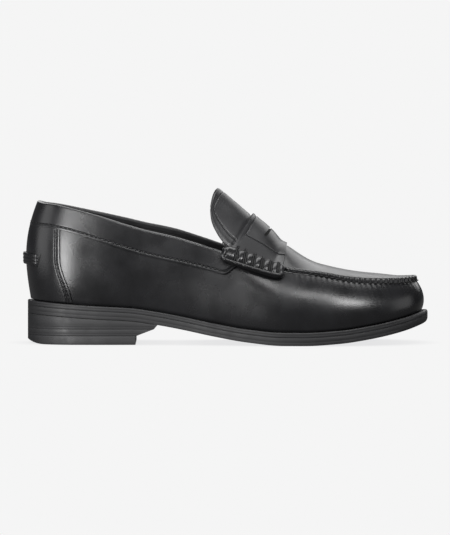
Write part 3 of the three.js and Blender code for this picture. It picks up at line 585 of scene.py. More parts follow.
def rounded(bottom, top, edge, sides=(), foot=None):
    """Profile of a slab with rounded edges: sides are extra rows of inset and height above the bottom,
    and foot is the radius of its lower edge where that differs."""
    foot = foot or edge
    low = [(SPINE, 0), (foot * 4, 0), (foot, 0), (foot * 0.3, foot * 0.3), (0, foot), *sides]
    high = [(0, -edge), (edge * 0.3, -edge * 0.3), (edge, 0), (edge * 4, 0), (SPINE, 0)]
    return raised(bottom, low) + raised(top, high)


SQUEEZE = 0.14  # pressed together, the layers all but touch
SHARP, EASED = 0.1, 0.35  # radii of a trimmed edge and of the sole's lowest one

# ---- Outsole ----
# One long sole of moulded rubber from heel to toe, cemented under the welt. Its edge is trimmed flush
# with the welt's, and one trimming groove runs round it.
GROOVE = [(0, 0.9), (0, 1.5), (0, 2.2), (0.04, 2.35), (0.04, 2.45), (0, 2.6)]
profile = rounded(ground_rise, lambda x: ground_rise(x) + OUTSOLE + SQUEEZE, SHARP, GROOVE, EASED)
outsole = slab("outsole_sole", sole_ring(150), profile, toe_round=True)
fit(outsole, rubber, "sole_rubber", "outsole")

# ---- Heel ----
# Two lifts and a top piece, stacked, nailed and trimmed together. The breast slopes forward into the
# waist, and the back edge of the top piece is worn off in a bevel.
TOP_PIECE, LIFT = 6.2, 4.5
HEEL_LENGTH = 78.5
BREAST_SLOPE = 2.6


def heel_front(z):
    return HEEL_LENGTH + max(z - TOP_PIECE, 0) * BREAST_SLOPE


def bevel_of_wear(x):
    return 3.2 * np.maximum(1 - x / 14, 0) ** 2.5


def flat(height):
    return lambda x: np.full_like(x, height)


LIFT_SIDES = [(0.0, 1.3), (0.03, 1.45), (0.0, 1.6)]
low_1, top_1 = TOP_PIECE + GAP, TOP_PIECE + GAP + LIFT
low_2 = top_1 + GAP
HEEL_COLUMNS = 90
UPPER_LEAN = 0.85  # the upper lift's breast is nearer upright
top_piece = rounded(bevel_of_wear, flat(TOP_PIECE + SQUEEZE), SHARP, [(0.0, 1.0)], EASED)
lower = rounded(flat(low_1 - SQUEEZE), flat(top_1 + SQUEEZE), SHARP, LIFT_SIDES)
upper = rounded(flat(low_2 - SQUEEZE), lambda x: ground_rise(x) - SQUEEZE, SHARP, LIFT_SIDES)
for name, node, profile, low, lean in (
    ("heel_top_piece_rubber", "heel_top_piece", top_piece, 0.0, 0.0),
    ("heel_lift_lower_stack", "heel_lift_lower", lower, low_1, BREAST_SLOPE),
    ("heel_lift_upper_stack", "heel_lift_upper", upper, low_2, UPPER_LEAN),
):
    piece = slab(name, sole_ring(HEEL_COLUMNS, heel_front(low)), profile, lean=lean, lean_from=low)
    fit(piece, rubber, "sole_rubber", node)

# ---- Welt ----
# A strip of the same compound all round the shoe between the upper and the outsole. Its top edge is
# burnished round, and a shallow groove runs inside that, where the strip goes in under the upper.
WELT_WIDTH = 13
WELT_SECTION = [
    (0.4, -0.1), (0.08, -0.02), (0.0, 0.15), (0.0, 1.6), (0.05, 1.75), (0.0, 1.9), (0.0, 2.8),
    (0.07, 3.15), (0.3, 3.42), (0.75, 3.6), (1.15, 3.55), (1.35, 3.32), (1.75, 3.32), (1.95, 3.5),
    (2.6, 3.45), (WELT_WIDTH, 3.45), (WELT_WIDTH, 0.0),
]


def welt_place(u, v):
    t = u * ROUND
    j = np.rint(v * len(WELT_SECTION)).astype(int) % len(WELT_SECTION)
    inset, up = np.array(WELT_SECTION).T
    at_edge = inset[j] < 3
    drawn_in = inset[j] + nose(sole_edge(t)[:, 0], OUTSOLE + GAP + up[j]) * at_edge
    plan = sole_edge(t) - outward(t)[:, :2] * drawn_in[:, None]
    return np.column_stack([plan, ground_rise(plan[:, 0]) + OUTSOLE + GAP + up[j]])


welt = panel("welt_strip", 360, len(WELT_SECTION), welt_place)
close(welt)
fit(welt, rubber, "sole_rubber", "welt")


# ---- Inside the sole ----
# Cork filler with a sprung steel shank, a fibre insole board, nails, and the stiffeners that shape the
# heel and toe. All are shut inside, and keep the shapes they are cut to.
def speckled(name, dark, light, size, roughness, depth, **sockets):
    """A matt material of two tones in grains of a size."""
    grains = ("Noise", size, "Detail", 4.0)
    return surface(name, (dark, light), roughness, grains, [grains], depth, **sockets)


# Ground cork in gum: warm brown crumbs 2 mm across. Fibre board: pressed fibres, tan and dusty.
cork = speckled("ground_cork", "#7a5a36", "#b08a5a", 2.0, 0.95, 0.4)
fibre_board = speckled("pressed_fibre_board", "#83745a", "#9a8a6c", 0.8, 0.9, 0.1)
# Blued spring steel and bright wire nails: metal with fine drawing marks.
spring_steel = speckled("spring_steel", "#8a8f96", "#a5a9ad", 0.7, 0.34, 0.03, Metallic=1.0)
nail_steel = speckled("bright_wire_nail", "#a8a9aa", "#c2c3c4", 0.5, 0.3, 0.02, Metallic=1.0)
hidden = {
    "cork_filler": cork,
    "insole_board": fibre_board,
    "heel_counter_stiffener": fibre_board,
    "toe_puff": fibre_board,
    "shank": spring_steel,
    **{f"heel_nail_{number}": nail_steel for number in range(1, 6)},
}
for name, material in hidden.items():
    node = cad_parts[name]
    node.data.materials.clear()
    node.data.materials.append(material)

# ---- Lining leather ----
# Black lining hide, thinner and duller than the upper, with an open pore and no polish.
RUBBED, PORES = ("Noise", 14, "Detail", 3.0), ("Voronoi", 0.9, "Randomness", 1.0)
lining_leather = surface(
    "black_lining_hide", ("#0f0f10", "#1b1b1d"), (0.5, 0.72), RUBBED, [PORES], 0.05, 0.5, IOR=1.48
)

# ---- Heel pad and sock ----
# A pad of latex foam glued to the insole board under the heel, and the sock over both: a full-length
# piece of lining hide that the foot rests on, dished a little at its edge.
UPPER, BOARD = 1.5, 2.0
BOARD_TOP = UPPER + GAP + BOARD  # above the feather line
HEEL_PAD, PAD_LENGTH = 2.4, 70
SOCK = 1.0
# Latex foam: dark grey and dead matt, with open cells under a millimetre across.
CELLS = ("Voronoi", 0.7, "Randomness", 1.0)
foam = surface("latex_foam", ("#201f1e", "#343230"), 0.9, CELLS, [CELLS], 0.12)


def pad_low(x):
    return feather_z(x) + BOARD_TOP + GAP


PAD_INSET = 10.8
PAD_EDGE = [(0.5, 0.1), (0.0, 0.35), (0.1, 0.6), (0.8, 0.85), (2.4, 0.97)]  # insets and shares of its height
pad_rows = [(SPINE, 0), (PAD_INSET + 1.6, 0)]
pad_rows += [(PAD_INSET + inset, HEEL_PAD * share) for inset, share in PAD_EDGE] + [(SPINE, HEEL_PAD)]
pad = slab("foam_heel_pad", sole_ring(70, PAD_LENGTH + PAD_INSET), raised(pad_low, pad_rows))
fit(pad, foam, "heel_foam", "heel_pad", angle=60)


def sock_low(x):
    return pad_low(x) + (HEEL_PAD + GAP) * (1 - smooth(x, PAD_LENGTH, PAD_LENGTH * 1.5))


SOCK_INSET = 9.4
SOCK_ROWS = [
    (3, 0), (0.3, 0.25), (0, 0.75), (0.25, SOCK + 0.25), (1.4, SOCK + 0.12), (3, SOCK)
]  # insets past its own, and heights
sock_rows = [(SPINE, 0), *[(SOCK_INSET + inset, up) for inset, up in SOCK_ROWS], (SPINE, SOCK)]
sock = slab("sock_of_lining_hide", sole_ring(150), raised(sock_low, sock_rows))
fit(sock, lining_leather, "lining_leather", "sock_liner", angle=60)

# ---- Linings ----
# Heel grip, two quarter linings and the vamp lining, glued to the inside of the upper and butted
# together. They stand further in where the counter and the toe puff lie behind them.
BACKING, STIFFENER, LINING = 0.55, 1.1, 0.9
LINING_FOOT, LINING_DROP, COLLAR_DROP = 2.6, 3.4, 2.0


def lining_depth(t, h):
    t = np.asarray(t, float) % ROUND
    from_heel = np.minimum(t, ROUND - t)
    at_heel = (1 - smooth(from_heel, 3.45, 4.0)) * (1 - smooth(h, 0.72, 0.86))
    at_toe = 1 - smooth(np.abs(t - TOE), 2.05, 2.6)
    return UPPER + BACKING + np.maximum(at_heel, at_toe) * (STIFFENER + BACKING)


def lining(name, start, end, columns, *nodes):
    def place(u, v):
        t = (start + (end - start) * u) % ROUND
        drop = COLLAR_DROP + (LINING_DROP - COLLAR_DROP) * between(t, 5.6, 6.2, 17.8, 18.4)
        low = share_at_rise(t, LINING_FOOT)
        high = share_below_top(t, drop)
        h = low + (high - low) * v
        return skin(t, h, -lining_depth(t, h))

    piece = panel(name, columns, 26, place)
    thicken(piece, LINING, 0.25)
    return fit(piece, lining_leather, "lining_leather", *nodes)


lining("heel_grip_hide", ROUND - 2.2, ROUND + 2.2, 70, "heel_grip")
lining("quarter_lining_hide_outer", 2.22, 6.5, 70, "quarter_lining_outer")
lining("quarter_lining_hide_inner", 17.5, ROUND - 2.22, 70, "quarter_lining_inner")
lining("vamp_lining_hide", 6.52, 17.48, 150, "vamp_lining")


# ---- Calf leather ----
# Black box calf, glazed and polished: a fine pebble under a millimetre across that only shows where
# light slides over it, slow variation of the polish, and slight pull marks.
def calf(name, dark, light, gloss):
    pebbles, hairs = ("Voronoi", 0.75, "Randomness", 0.9), ("Noise", 2.2, "Detail", 5.0)
    polish, gloss_ends = ("Noise", 26, "Detail", 3.0), (gloss - 0.05, gloss + 0.06)
    return surface(name, (dark, light), gloss_ends, polish, [pebbles, hairs], 0.035, 0.6, IOR=1.5)


upper_leather = calf("polished_box_calf", "#121213", "#19191b", 0.26)
# The apron, strap and tongue are a rougher, satin calf. Their lighter tone is painted light from the
# overhead box on these top pieces.
apron_leather = calf("glazed_box_calf_painted_lighter", "#1a1a1b", "#212123", 0.36)
# Waxed linen thread: black and dull with wax, with the twist of its plies half a millimetre apart.
PLIES = ("Noise", 0.5, "Detail", 1.0)
waxed_thread = surface("waxed_linen_thread", ("#070708", "#181819"), 0.6, PLIES, [PLIES], 0.06, IOR=1.45)


STITCH_HEIGHT = 0.8  # of its width: pulled tight, thread is flattened


def stitches(name, path, normals, pitch, length, radius, *stands_for, sink=0.0, bends=False):
    """A row of thread stitches along a path, each one an ellipsoid half sunk in the leather."""
    run = np.r_[0, np.cumsum(np.linalg.norm(np.diff(path, axis=0), axis=-1))]
    count = int(run[-1] // pitch)
    middle = (np.arange(count) + 0.5) * run[-1] / count

    def at(values, shift=0.0):
        return np.stack([np.interp(middle + shift, run, values[:, k]) for k in range(3)], -1)

    ahead = unit(at(path, 0.4) - at(path, -0.4))
    side = unit(np.cross(at(normals), ahead))
    above = np.cross(ahead, side)
    deselect()
    bpy.ops.mesh.primitive_uv_sphere_add(segments=8, ring_count=6, radius=1)
    one = bpy.context.object
    shape = np.array([vertex.co for vertex in one.data.vertices])
    faces = [list(polygon.vertices) for polygon in one.data.polygons]
    bpy.ops.object.delete()
    shape = shape * [length / 2, radius, radius * STITCH_HEIGHT]
    centre = at(path) - above * sink
    points = (
        centre[:, None]
        + shape[None, :, 0:1] * ahead[:, None]
        + shape[None, :, 1:2] * side[:, None]
        + shape[None, :, 2:3] * above[:, None]
    ).reshape(-1, 3)
    mesh = bpy.data.meshes.new(name)
    every_face = [[k + len(shape) * n for k in face] for n in range(count) for face in faces]
    mesh.from_pydata(((points + [HEEL_X, 0, 0]) * MM).tolist(), [], every_face)
    row = bpy.data.objects.new(name, mesh)
    scene.collection.objects.link(row)
    fit(row, waxed_thread, "waxed_thread", *stands_for, bends=bends)


def sweep(name, path, radius, sides=10):
    """A round cord of leather or thread along a path, closed at both ends."""
    path = np.asarray(path, float)
    ahead = unit(np.gradient(path, axis=0))
    side = np.zeros_like(path)
    side[0] = unit(np.cross(ahead[0], [0.3, 0.2, 1]))
    for k in range(1, len(path)):
        side[k] = unit(side[k - 1] - ahead[k] * np.dot(side[k - 1], ahead[k]))
    above = np.cross(side, ahead)
    radius = np.broadcast_to(radius, len(path)).astype(float).copy()
    radius[[0, -1]] = 0.0
    radius[[1, -2]] *= 0.75

    def place(u, v):
        k = np.rint(u * (len(path) - 1)).astype(int)
        angle = (v * 2 * math.pi)[:, None]
        return path[k] + radius[k, None] * (np.cos(angle) * side[k] + np.sin(angle) * above[k])

    piece = panel(name, len(path) - 1, sides, place)
    close(piece)
    return piece


def curve_through(points, count):
    """Points along a smooth curve through a few points."""
    return through_rows(points, np.linspace(0, len(points) - 1 - 1e-6, count), False)


# ---- Vamp ----
# One piece of calf lasted round the whole shoe, closed up the back of the heel and turned in under the
# insole. Round the toe its top edge is gathered into the apron's seam, so it puckers below the thread.
PUCKER = 4.0  # millimetres of seam to each stitch of the apron
LASTING_MARGIN = 8
BACK_SEAM = 0.02
TUCKED, STANDING = 0.05, 0.96  # rows of the vamp up to here are turned in, and from here stand as the lip


def seam_phase(t):
    return np.interp(np.asarray(t, float) % ROUND, GIRTH, top_run) / PUCKER * 2 * math.pi


def seam_share(t):
    t = np.asarray(t, float) % ROUND
    return between(t, 7.05, 7.5, 16.5, 16.95)


def puckers(t, drop):
    phase = seam_phase(t)
    uneven = 1 + 0.25 * np.sin(phase * 0.37) + 0.2 * np.sin(phase * 0.23 + 1)
    gather = 0.12 * (0.5 + 0.5 * np.cos(phase)) * np.exp(-((drop / 2.6) ** 2))
    wrinkle = 0.04 * np.cos(phase) * np.exp(-((drop / 9.0) ** 2))
    calm = 1 - 0.55 * dip(t - TOE, 1.6)
    return seam_share(t) * uneven * calm * (gather + wrinkle)


def vamp_place(u, v):
    t = np.interp(u, [0, 0.12, 0.88, 1], [BACK_SEAM, 6.9, 17.1, ROUND - BACK_SEAM])
    h = np.interp(v, [TUCKED, 0.5, STANDING], [0, 0.55, 1])
    under_collar = 1 - between(t, 6.2, 6.9, 17.1, 17.8)
    h = h * share_below_top(t, 0.001 + 1.2 * under_collar)
    drop = (1 - h) * np.interp(t, GIRTH, wall_length)
    points = skin(t, h, puckers(t, drop))
    tucked = np.clip(1 - v / TUCKED, 0, 1)
    points -= outward(t) * (LASTING_MARGIN * tucked)[:, None]
    points[:, 2] += (v < TUCKED) * (feather_z(points[:, 0]) - points[:, 2])
    standing = np.clip((v - STANDING) / (1 - STANDING), 0, 1)
    points[:, 2] += standing * lip(t) * 0.85 * (1 - under_collar)
    return points


vamp = panel("vamp_calf", 660, 44, vamp_place)
thicken(vamp, UPPER, 0.2)
fit(vamp, upper_leather, "upper_leather", "vamp")

# ---- Back counter ----
# A patch of calf over the closed back seam. Its front edges are skived and stitched down with two
# rows of thread, and the leather stands up in a ridge on each side of a row.
SEAT, OVERLAY = 0.4, 1.2
COLLAR_DEPTH = 17.5
STATION_RUN = np.linalg.norm(wall(2.6, 0.5) - wall(1.6, 0.5))  # millimetres of wall to a station here
PATCH_ROWS = (2.0, 3.9)
PATCH_MARGIN = 6 / STATION_RUN  # stations of patch, with both rows, that are laid more finely


def patch_edge(h):
    return 2.36 - 0.34 * smooth(h, 0, 0.42)


def patch_place(u, v):
    h = 0.015 + (share_below_top(2.0, COLLAR_DEPTH - 2) - 0.015) * v
    reach = patch_edge(h)
    side = np.sign(u - 0.5)
    inset = np.interp(np.abs(u - 0.5), [0, 0.28, 0.5], [1, 0, -1])  # 1 in the middle, 0 to -1 over the rows
    fine = reach - PATCH_MARGIN * (1 + inset)
    t = side * np.where(inset > 0, (reach - PATCH_MARGIN) * (1 - inset), fine)
    from_edge = (reach - np.abs(t)) * STATION_RUN
    sunk = sum(dip(from_edge - row, 0.4) for row in PATCH_ROWS)
    ridge = 0.16 * dip(from_edge - 2.95, 0.5) + 0.03 * dip(from_edge - 0.9, 0.5)
    return skin(t % ROUND, h, SEAT + OVERLAY - 0.44 * sunk + ridge)


patch = panel("back_counter_calf", 240, 60, patch_place)
thicken(patch, OVERLAY * 0.85, 0.16)
fit(patch, upper_leather, "upper_leather", "back_counter")
h = np.linspace(0.04, float(share_below_top(2.0, COLLAR_DEPTH + 0.5)), 90)
for row, from_edge in enumerate(PATCH_ROWS):
    for side, word in ((1, "outer"), (-1, "inner")):
        t = side * (patch_edge(h) - from_edge / STATION_RUN) % ROUND
        line = skin(t, h, SEAT + OVERLAY - 0.1)
        stitches(f"counter_stitches_{word}_{row + 1}", line, wall_normal(t, h), 3.1, 2.3, 0.52)

# ---- Heel tab ----
# A folded strip of calf across the back, three plies thick. Its ends go through slits in the counter, drawn
# as near-black slivers of painted shade, and are sewn down inside.
TAB_CENTRE, TAB_HEIGHT = 30.4, 8.0
TAB_REACH = 1.2
TAB_FALL = 1.2  # its ends lie lower than its middle


def tab_place(u, v):
    t = TAB_REACH * (2 * u - 1)
    end = np.abs(2 * u - 1)
    rise = TAB_CENTRE - TAB_FALL * end**2 + TAB_HEIGHT * (v - 0.5) * (1 - 0.08 * end**2)
    plies = 0.35 * (dip(v - 0.2, 0.1) + dip(v - 0.5, 0.1) + dip(v - 0.8, 0.1))
    stand = SEAT + OVERLAY + 1.95 + plies - 0.5 * end**2 - 2.6 * smooth(end, 0.9, 1.0)
    return skin(t % ROUND, share_at_rise(t % ROUND, rise), stand)


tab = panel("heel_tab_strip", 90, 48, tab_place)
thicken(tab, 1.7, 0.5)
fit(tab, upper_leather, "upper_leather", "heel_tab")
# Near-black material of painted shade: it darkens the tab's slits and the strap's slot.
slot_and_slit_painted_shade = speckled("painted_slot_shade", "#050505", "#0a0a0a", 1.0, 0.85, 0.05)
for side, word in ((1, "outer"), (-1, "inner")):

    def slit_place(u, v, side=side):
        half = 0.035 * np.sin(math.pi * np.clip(v, 0.02, 0.98))
        t = side * (TAB_REACH - 0.01 + 0.24 * (v - 0.5)) + half * (2 * u - 1)
        rise = TAB_CENTRE - TAB_FALL + (TAB_HEIGHT + 2.6) * (v - 0.5)
        return skin(t % ROUND, share_at_rise(t % ROUND, rise), SEAT + OVERLAY + 0.12)

    slit = panel(f"tab_slit_painted_shade_{word}", 6, 30, slit_place)
    thicken(slit, 0.4, 0)
    fit(slit, slot_and_slit_painted_shade, "upper_leather")

# ---- Collar band ----
# A band of calf round the topline, folded over the top edge and down inside. Its lower edge is stitched
# through to the quarters in a sunk line, with a bead of leather below the line.
COLLAR_END = 6.3
COLLAR_LINE = 2.2  # stitch line above the lower edge
FOLD = 1.5  # the band turns over the top edge from this far below it
COLLAR_COLUMNS, COLLAR_ROWS = 300, 62
FIRST_CLIMB = 4.2  # millimetres of the band, with its stitch line, that take its first rows
LINE_ROWS, FACE_ROWS, FOLD_ROWS = 0.36, 0.62, 0.86  # shares of the rows up to each part's end


def collar_depth(t):
    from_heel = np.minimum(t, ROUND - t)
    at_waist = smooth(from_heel, 2.2, 3.6) - 1.2 * smooth(from_heel, 4.6, 5.7)
    return COLLAR_DEPTH + 1.2 * at_waist - 11 * smooth(from_heel, 5.85, COLLAR_END)


def collar_place(u, v):
    t = (2 * u - 1) * COLLAR_END % ROUND
    depth = collar_depth(t)
    up_face = np.clip((v - LINE_ROWS) / (FACE_ROWS - LINE_ROWS), 0, 1)
    climb = np.minimum(v / LINE_ROWS, 1) * FIRST_CLIMB + (depth - FOLD - FIRST_CLIMB) * up_face
    turned_down = np.clip((v - FOLD_ROWS) / (1 - FOLD_ROWS), 0, 1) * 2.5
    h = share_below_top(t, depth - climb + turned_down)
    outer = SEAT + OVERLAY - 0.5 * dip(climb - COLLAR_LINE, 0.48) + 0.16 * dip(climb - 0.8, 0.6)
    inner = -(lining_depth(t, 1.0) + LINING + 0.35)
    angle = np.clip((v - FACE_ROWS) / (FOLD_ROWS - FACE_ROWS), 0, 1) * math.pi
    offset = np.where(v < FACE_ROWS, outer, (outer + inner) / 2 + (outer - inner) / 2 * np.cos(angle))
    return skin(t, h, offset) + wall_up(t, 1.0) * (FOLD * np.sin(angle) * (v < FOLD_ROWS))[:, None]


collar = panel("collar_band_calf", COLLAR_COLUMNS, COLLAR_ROWS, collar_place)
INSIDE_ROWS = 0.75  # past this share of its rows the band is lining hide
for leather in (upper_leather, lining_leather):
    collar.data.materials.append(leather)
for polygon in collar.data.polygons:
    polygon.material_index = int(polygon.index // COLLAR_COLUMNS >= INSIDE_ROWS * COLLAR_ROWS)
thicken(collar, 1.0, 0.28)
fit(collar, upper_leather, "upper_leather", "collar_band")
LINE_END = COLLAR_END - 0.35
t = np.linspace(-LINE_END, LINE_END, 500) % ROUND
h = share_below_top(t, collar_depth(t) - COLLAR_LINE)
stitches("collar_stitches", skin(t, h, SEAT + OVERLAY - 0.1), wall_normal(t, h), 3.3, 2.4, 0.52)

# ---- Apron ----
# The top panel of glazed calf over the toes and instep, backed with lining hide glued to its flesh
# side. It ends under the strap.
APRON_END = 6.35
apron = panel("apron_calf", 110, 120, lambda u, v: arch_skin(APRON_END * v, 2 * u - 1, 0))
thicken(apron, 1.4, 0.3)
fit(apron, apron_leather, "apron_leather", "apron")
BACKED_FROM, BACKED_DEPTH = 0.25, 1.95


def backing_place(u, v):
    return arch_skin(BACKED_FROM + (APRON_END - BACKED_FROM) * v, 1.8 * u - 0.9, -BACKED_DEPTH)


backing = panel("apron_lining_hide", 60, 60, backing_place)
thicken(backing, LINING, 0.2)
fit(backing, lining_leather, "lining_leather", "apron_lining")

# ---- Apron seam ----
# The vamp's gathered edge and the apron's are raised together in a rolled lip, sewn by hand with one
# thick stitch to each pucker, so that the lip is crimped at every stitch.
LIP_SECTION = np.array(
    [[-2.9, 1.9], [-2.75, 2.7], [-2.2, 3.25], [-1.4, 3.5], [-0.5, 3.4], [0.1, 3.1], [0.5, 2.5], [0.62, 1.8],
     [0.55, 1.1], [0.3, 0.4], [0.0, -0.1], [-0.5, -0.4], [-1.6, -0.3], [-2.6, 0.6]]
)
SEAM_START, SEAM_END = 7.04, 16.96
LIP_CENTRE = np.array([-1.2, 1.2])


def lip_fullness(t):
    """The lip is deeper round the toe than along the sides."""
    return between(t, 7.6, 9, 15, 16.4)


def lip_place(u, v):
    t = SEAM_START + (SEAM_END - SEAM_START) * u
    j = np.rint(v * len(LIP_SECTION)).astype(int) % len(LIP_SECTION)
    out, rise = LIP_SECTION[j].T
    crimp = np.cos(seam_phase(t))
    outside = smooth(out, -1.2, 0.3)
    low = np.clip((1.8 - rise) / 1.8, 0, 1) * lip_fullness(t) * outside
    out, rise = out + 0.75 * low, rise - 1.2 * low
    out = out + 0.16 * crimp * outside
    rise = rise + 0.18 * crimp * outside * (rise > 2) - 0.3 * (0.5 - 0.5 * crimp) * (rise < 1) * outside
    full = 0.45 + 0.55 * between(u, 0, 0.02, 0.98, 1)
    out, rise = (LIP_CENTRE + (np.stack([out, rise], -1) - LIP_CENTRE) * full[:, None]).T
    return top_edge(t) + outward(t) * out[:, None] + UP * rise[:, None]


rolled_lip = panel("apron_rolled_lip", 620, len(LIP_SECTION), lip_place)
close(rolled_lip, cap_ends=True)
fit(rolled_lip, upper_leather, "upper_leather", angle=60)
t = np.linspace(7.2, 16.8, 900)
line = top_edge(t) + outward(t) * (0.72 + 0.8 * lip_fullness(t))[:, None]
line += UP * (0.75 - lip_fullness(t))[:, None]
stitches("apron_seam_stitches", line, outward(t) + 0.2 * UP, PUCKER, 2.9, 0.46, "apron_seam_thread")

# ---- Strap ----
# The saddle across the instep: a wide wing sewn into the rolls at both ends, with a second layer on it
# that ends in a sharp edge, and the slot cut through both, pinched beside its middle notch.
STRAP = 1.6
STRAP_REACH = 0.965
SLOT_P, SLOT_REACH = 6.1, 0.56
RIB = 17.0  # millimetres between ribs at the strap
LAYER_SIDE, LAYER_BACK = 0.71, 6.86
STRAP_FRONT, STRAP_BACK = 5, 7.06
SIDE_RUN = 46.0  # millimetres of arch from its crown to its edge
STRAP_COLUMNS, STRAP_ROWS = 250, 100
SLOT_START, SLOT_MIDDLE, SLOT_END = 0.46, 0.5, 0.54  # shares of the rows


def strap_across(u):
    """Across the arch, with the columns closer where the second layer steps up."""
    knots = [-STRAP_REACH, -0.76, -0.66, 0.66, 0.76, STRAP_REACH]
    return np.interp(u, [0, 0.12, 0.26, 0.74, 0.88, 1], knots)


def slot_half(a):
    a = np.abs(a)
    half = 0.62 + 0.4 * dip(a, 0.04) + 0.5 * (a / SLOT_REACH) ** 2
    return half / RIB * np.sqrt(np.clip(1 - (a / SLOT_REACH) ** 12, 0, 1))


def strap_offset(p, a):
    side = (LAYER_SIDE - np.abs(a)) * SIDE_RUN
    back = (LAYER_BACK - p) * RIB
    from_line = np.minimum(side, back)
    layer = 0.42 * smooth(from_line, -0.15, 0.35)
    swell = 0.35 * dip((p - STRAP_BACK) * RIB, 1.6)
    return GAP + STRAP - 0.3 + layer + swell - 0.34 * dip(from_line + 0.1, 0.42)


def strap_place(u, v):
    a = strap_across(u)
    half = np.maximum(slot_half(a), 0.003)
    middle = SLOT_P + 0.1 * np.minimum((a / SLOT_REACH) ** 2, 1)
    ahead = STRAP_FRONT + (middle - half - STRAP_FRONT) * v / SLOT_START
    share = np.interp(v, [SLOT_END, 0.84, 0.94, 1], [0, 0.78, 0.96, 1.0])
    behind = middle + half + (STRAP_BACK - middle - half) * share
    within = middle + half * (v - SLOT_MIDDLE) / (SLOT_END - SLOT_MIDDLE)
    p = np.where(v < SLOT_START + 1e-6, ahead, np.where(v > SLOT_END - 1e-6, behind, within))
    return arch_skin(p, a, strap_offset(p, a))


strap = panel("strap_calf", STRAP_COLUMNS, STRAP_ROWS, strap_place)
only(strap)
bpy.ops.object.mode_set(mode="EDIT")
bpy.ops.mesh.select_all(action="DESELECT")
bpy.ops.object.mode_set(mode="OBJECT")
for polygon in strap.data.polygons:
    row, column = divmod(polygon.index, STRAP_COLUMNS)
    a = strap_across((column + 0.5) / STRAP_COLUMNS)
    in_slot = SLOT_START < (row + 0.5) / STRAP_ROWS < SLOT_END
    polygon.select = bool(in_slot and abs(a) < SLOT_REACH * 0.985)
bpy.ops.object.mode_set(mode="EDIT")
bpy.ops.mesh.delete(type="FACE")
bpy.ops.object.mode_set(mode="OBJECT")
thicken(strap, STRAP, 0.3)
fit(strap, apron_leather, "apron_leather", "strap")

# A near-black sheet of painted shade under the strap's slot, closing it from below so that the slot shows
# dark.
def slot_shade_place(u, v):
    raised = 0.9 * dip(2 * u - 1, 0.3) * dip(2 * v - 0.8, 0.4)
    return arch_skin(5.9 + 0.5 * v, 1.24 * u - 0.62, 0.26 + raised)


piece = panel("strap_slot_painted_shade", 60, 6, slot_shade_place)
thicken(piece, 0.2, 0)
fit(piece, slot_and_slit_painted_shade, "lining_leather")

# ---- Tongue ----
# Calf and lining sewn back to back, with a border stitch, rooted under the strap.
TONGUE, TONGUE_LINING = 1.3, 0.8
TONGUE_ROOT, TONGUE_TIP = 6.93, 9.04
TONGUE_LENGTH, TONGUE_HALF = 38, 42  # millimetres along it, and of arch from its crown to its edge
BORDER = 5.0
FLARE = 2.4  # the tongue's sides stand back from its middle


def tongue_width(u):
    return 0.94 - 0.3 * u**2.2


def tongue_point(u, v, offset, inset):
    a = 2 * v - 1
    p = TONGUE_ROOT + (TONGUE_TIP - inset - 0.42 * np.abs(a) ** 2.5 - TONGUE_ROOT) * u
    half = tongue_width(u) * (1 - inset)
    tucked = 0.7 * dip((p - STRAP_BACK) * RIB, 1.4)
    flare = FLARE * smooth(u, 0.25, 0.85) * (1 - dip(a, 0.4))
    return arch_skin(p, a * half, offset - tucked) - np.array([1.0, 0, 0.1]) * flare[:, None]


def tongue_place(v, u):
    v = 0.5 - 0.5 * np.cos(v * math.pi)
    u = np.sin(u * math.pi / 2)
    from_side = (1 - np.abs(2 * v - 1)) * tongue_width(u) * TONGUE_HALF
    from_edge = np.minimum(from_side, (1 - u) * TONGUE_LENGTH)
    offset = 0.15 * dip(from_edge - 1.4, 0.9) - 0.34 * dip(from_edge - BORDER, 0.4)
    return tongue_point(u, v, offset, 0)


tongue = panel("tongue_calf", 190, 130, tongue_place)
thicken(tongue, TONGUE, 0.4)
fit(tongue, apron_leather, "apron_leather", "tongue", bends=True)
under_calf = -TONGUE - GAP * 0.4
piece = panel("tongue_lining_hide", 90, 60, lambda v, u: tongue_point(u, v, under_calf, 0.014))
thicken(piece, TONGUE_LINING, 0.3)
fit(piece, lining_leather, "lining_leather", "tongue_lining", bends=True)
LINE_FROM, LINE_TO, LINE_STEPS = 0.12, 0.92, 120
up_side = np.linspace(LINE_FROM, LINE_TO, LINE_STEPS)
inset = BORDER / (tongue_width(up_side) * TONGUE_HALF) / 2
over_end = np.linspace(inset[-1], 1 - inset[-1], LINE_STEPS)
u = np.r_[up_side, np.full(LINE_STEPS, LINE_TO), up_side[::-1]]
v = np.r_[inset, over_end, 1 - inset[::-1]]
line = tongue_point(u, v, -0.12, 0)
line_normals = unit(tongue_point(u, v, 1, 0) - tongue_point(u, v, 0, 0))
stitches("tongue_border_stitches", line, line_normals, 2.9, 2.3, 0.34, sink=0.14, bends=True)


# ---- Beef rolls ----
# The strap's ends are rolled round a cord of leather and laced down to the vamp with waxed thread. The
# lacing pulls the roll in at every turn, and the roll's lower edge stands free of it as a smooth rim.
ROLL_SPANS = {"outer": (5.86, 7.16), "inner": (18.14, 16.82)}  # from the back to the front
ROLL_DEPTH, ROLL_HEIGHT = 6.4, 11.0
ROLL_SEAT, ROLL_LENGTH = 0.93, 38
WRAPS = 6
RIM_STEPS, WRAP_STEPS = 70, 9


def roll_frames(start, end, share):
    t = start + (end - start) * share
    way = np.sign(end - start)
    out = wall_normal(t, ROLL_SEAT)
    ahead = unit(wall(t + 0.01 * way, ROLL_SEAT) - wall(t - 0.01 * way, ROLL_SEAT))
    above = np.cross(out, ahead) * way
    return skin(t, ROLL_SEAT, GAP + ROLL_DEPTH / 2), out, above


def wrap_places():
    return 0.17 + 0.8 * (np.arange(WRAPS) + 0.5) / WRAPS


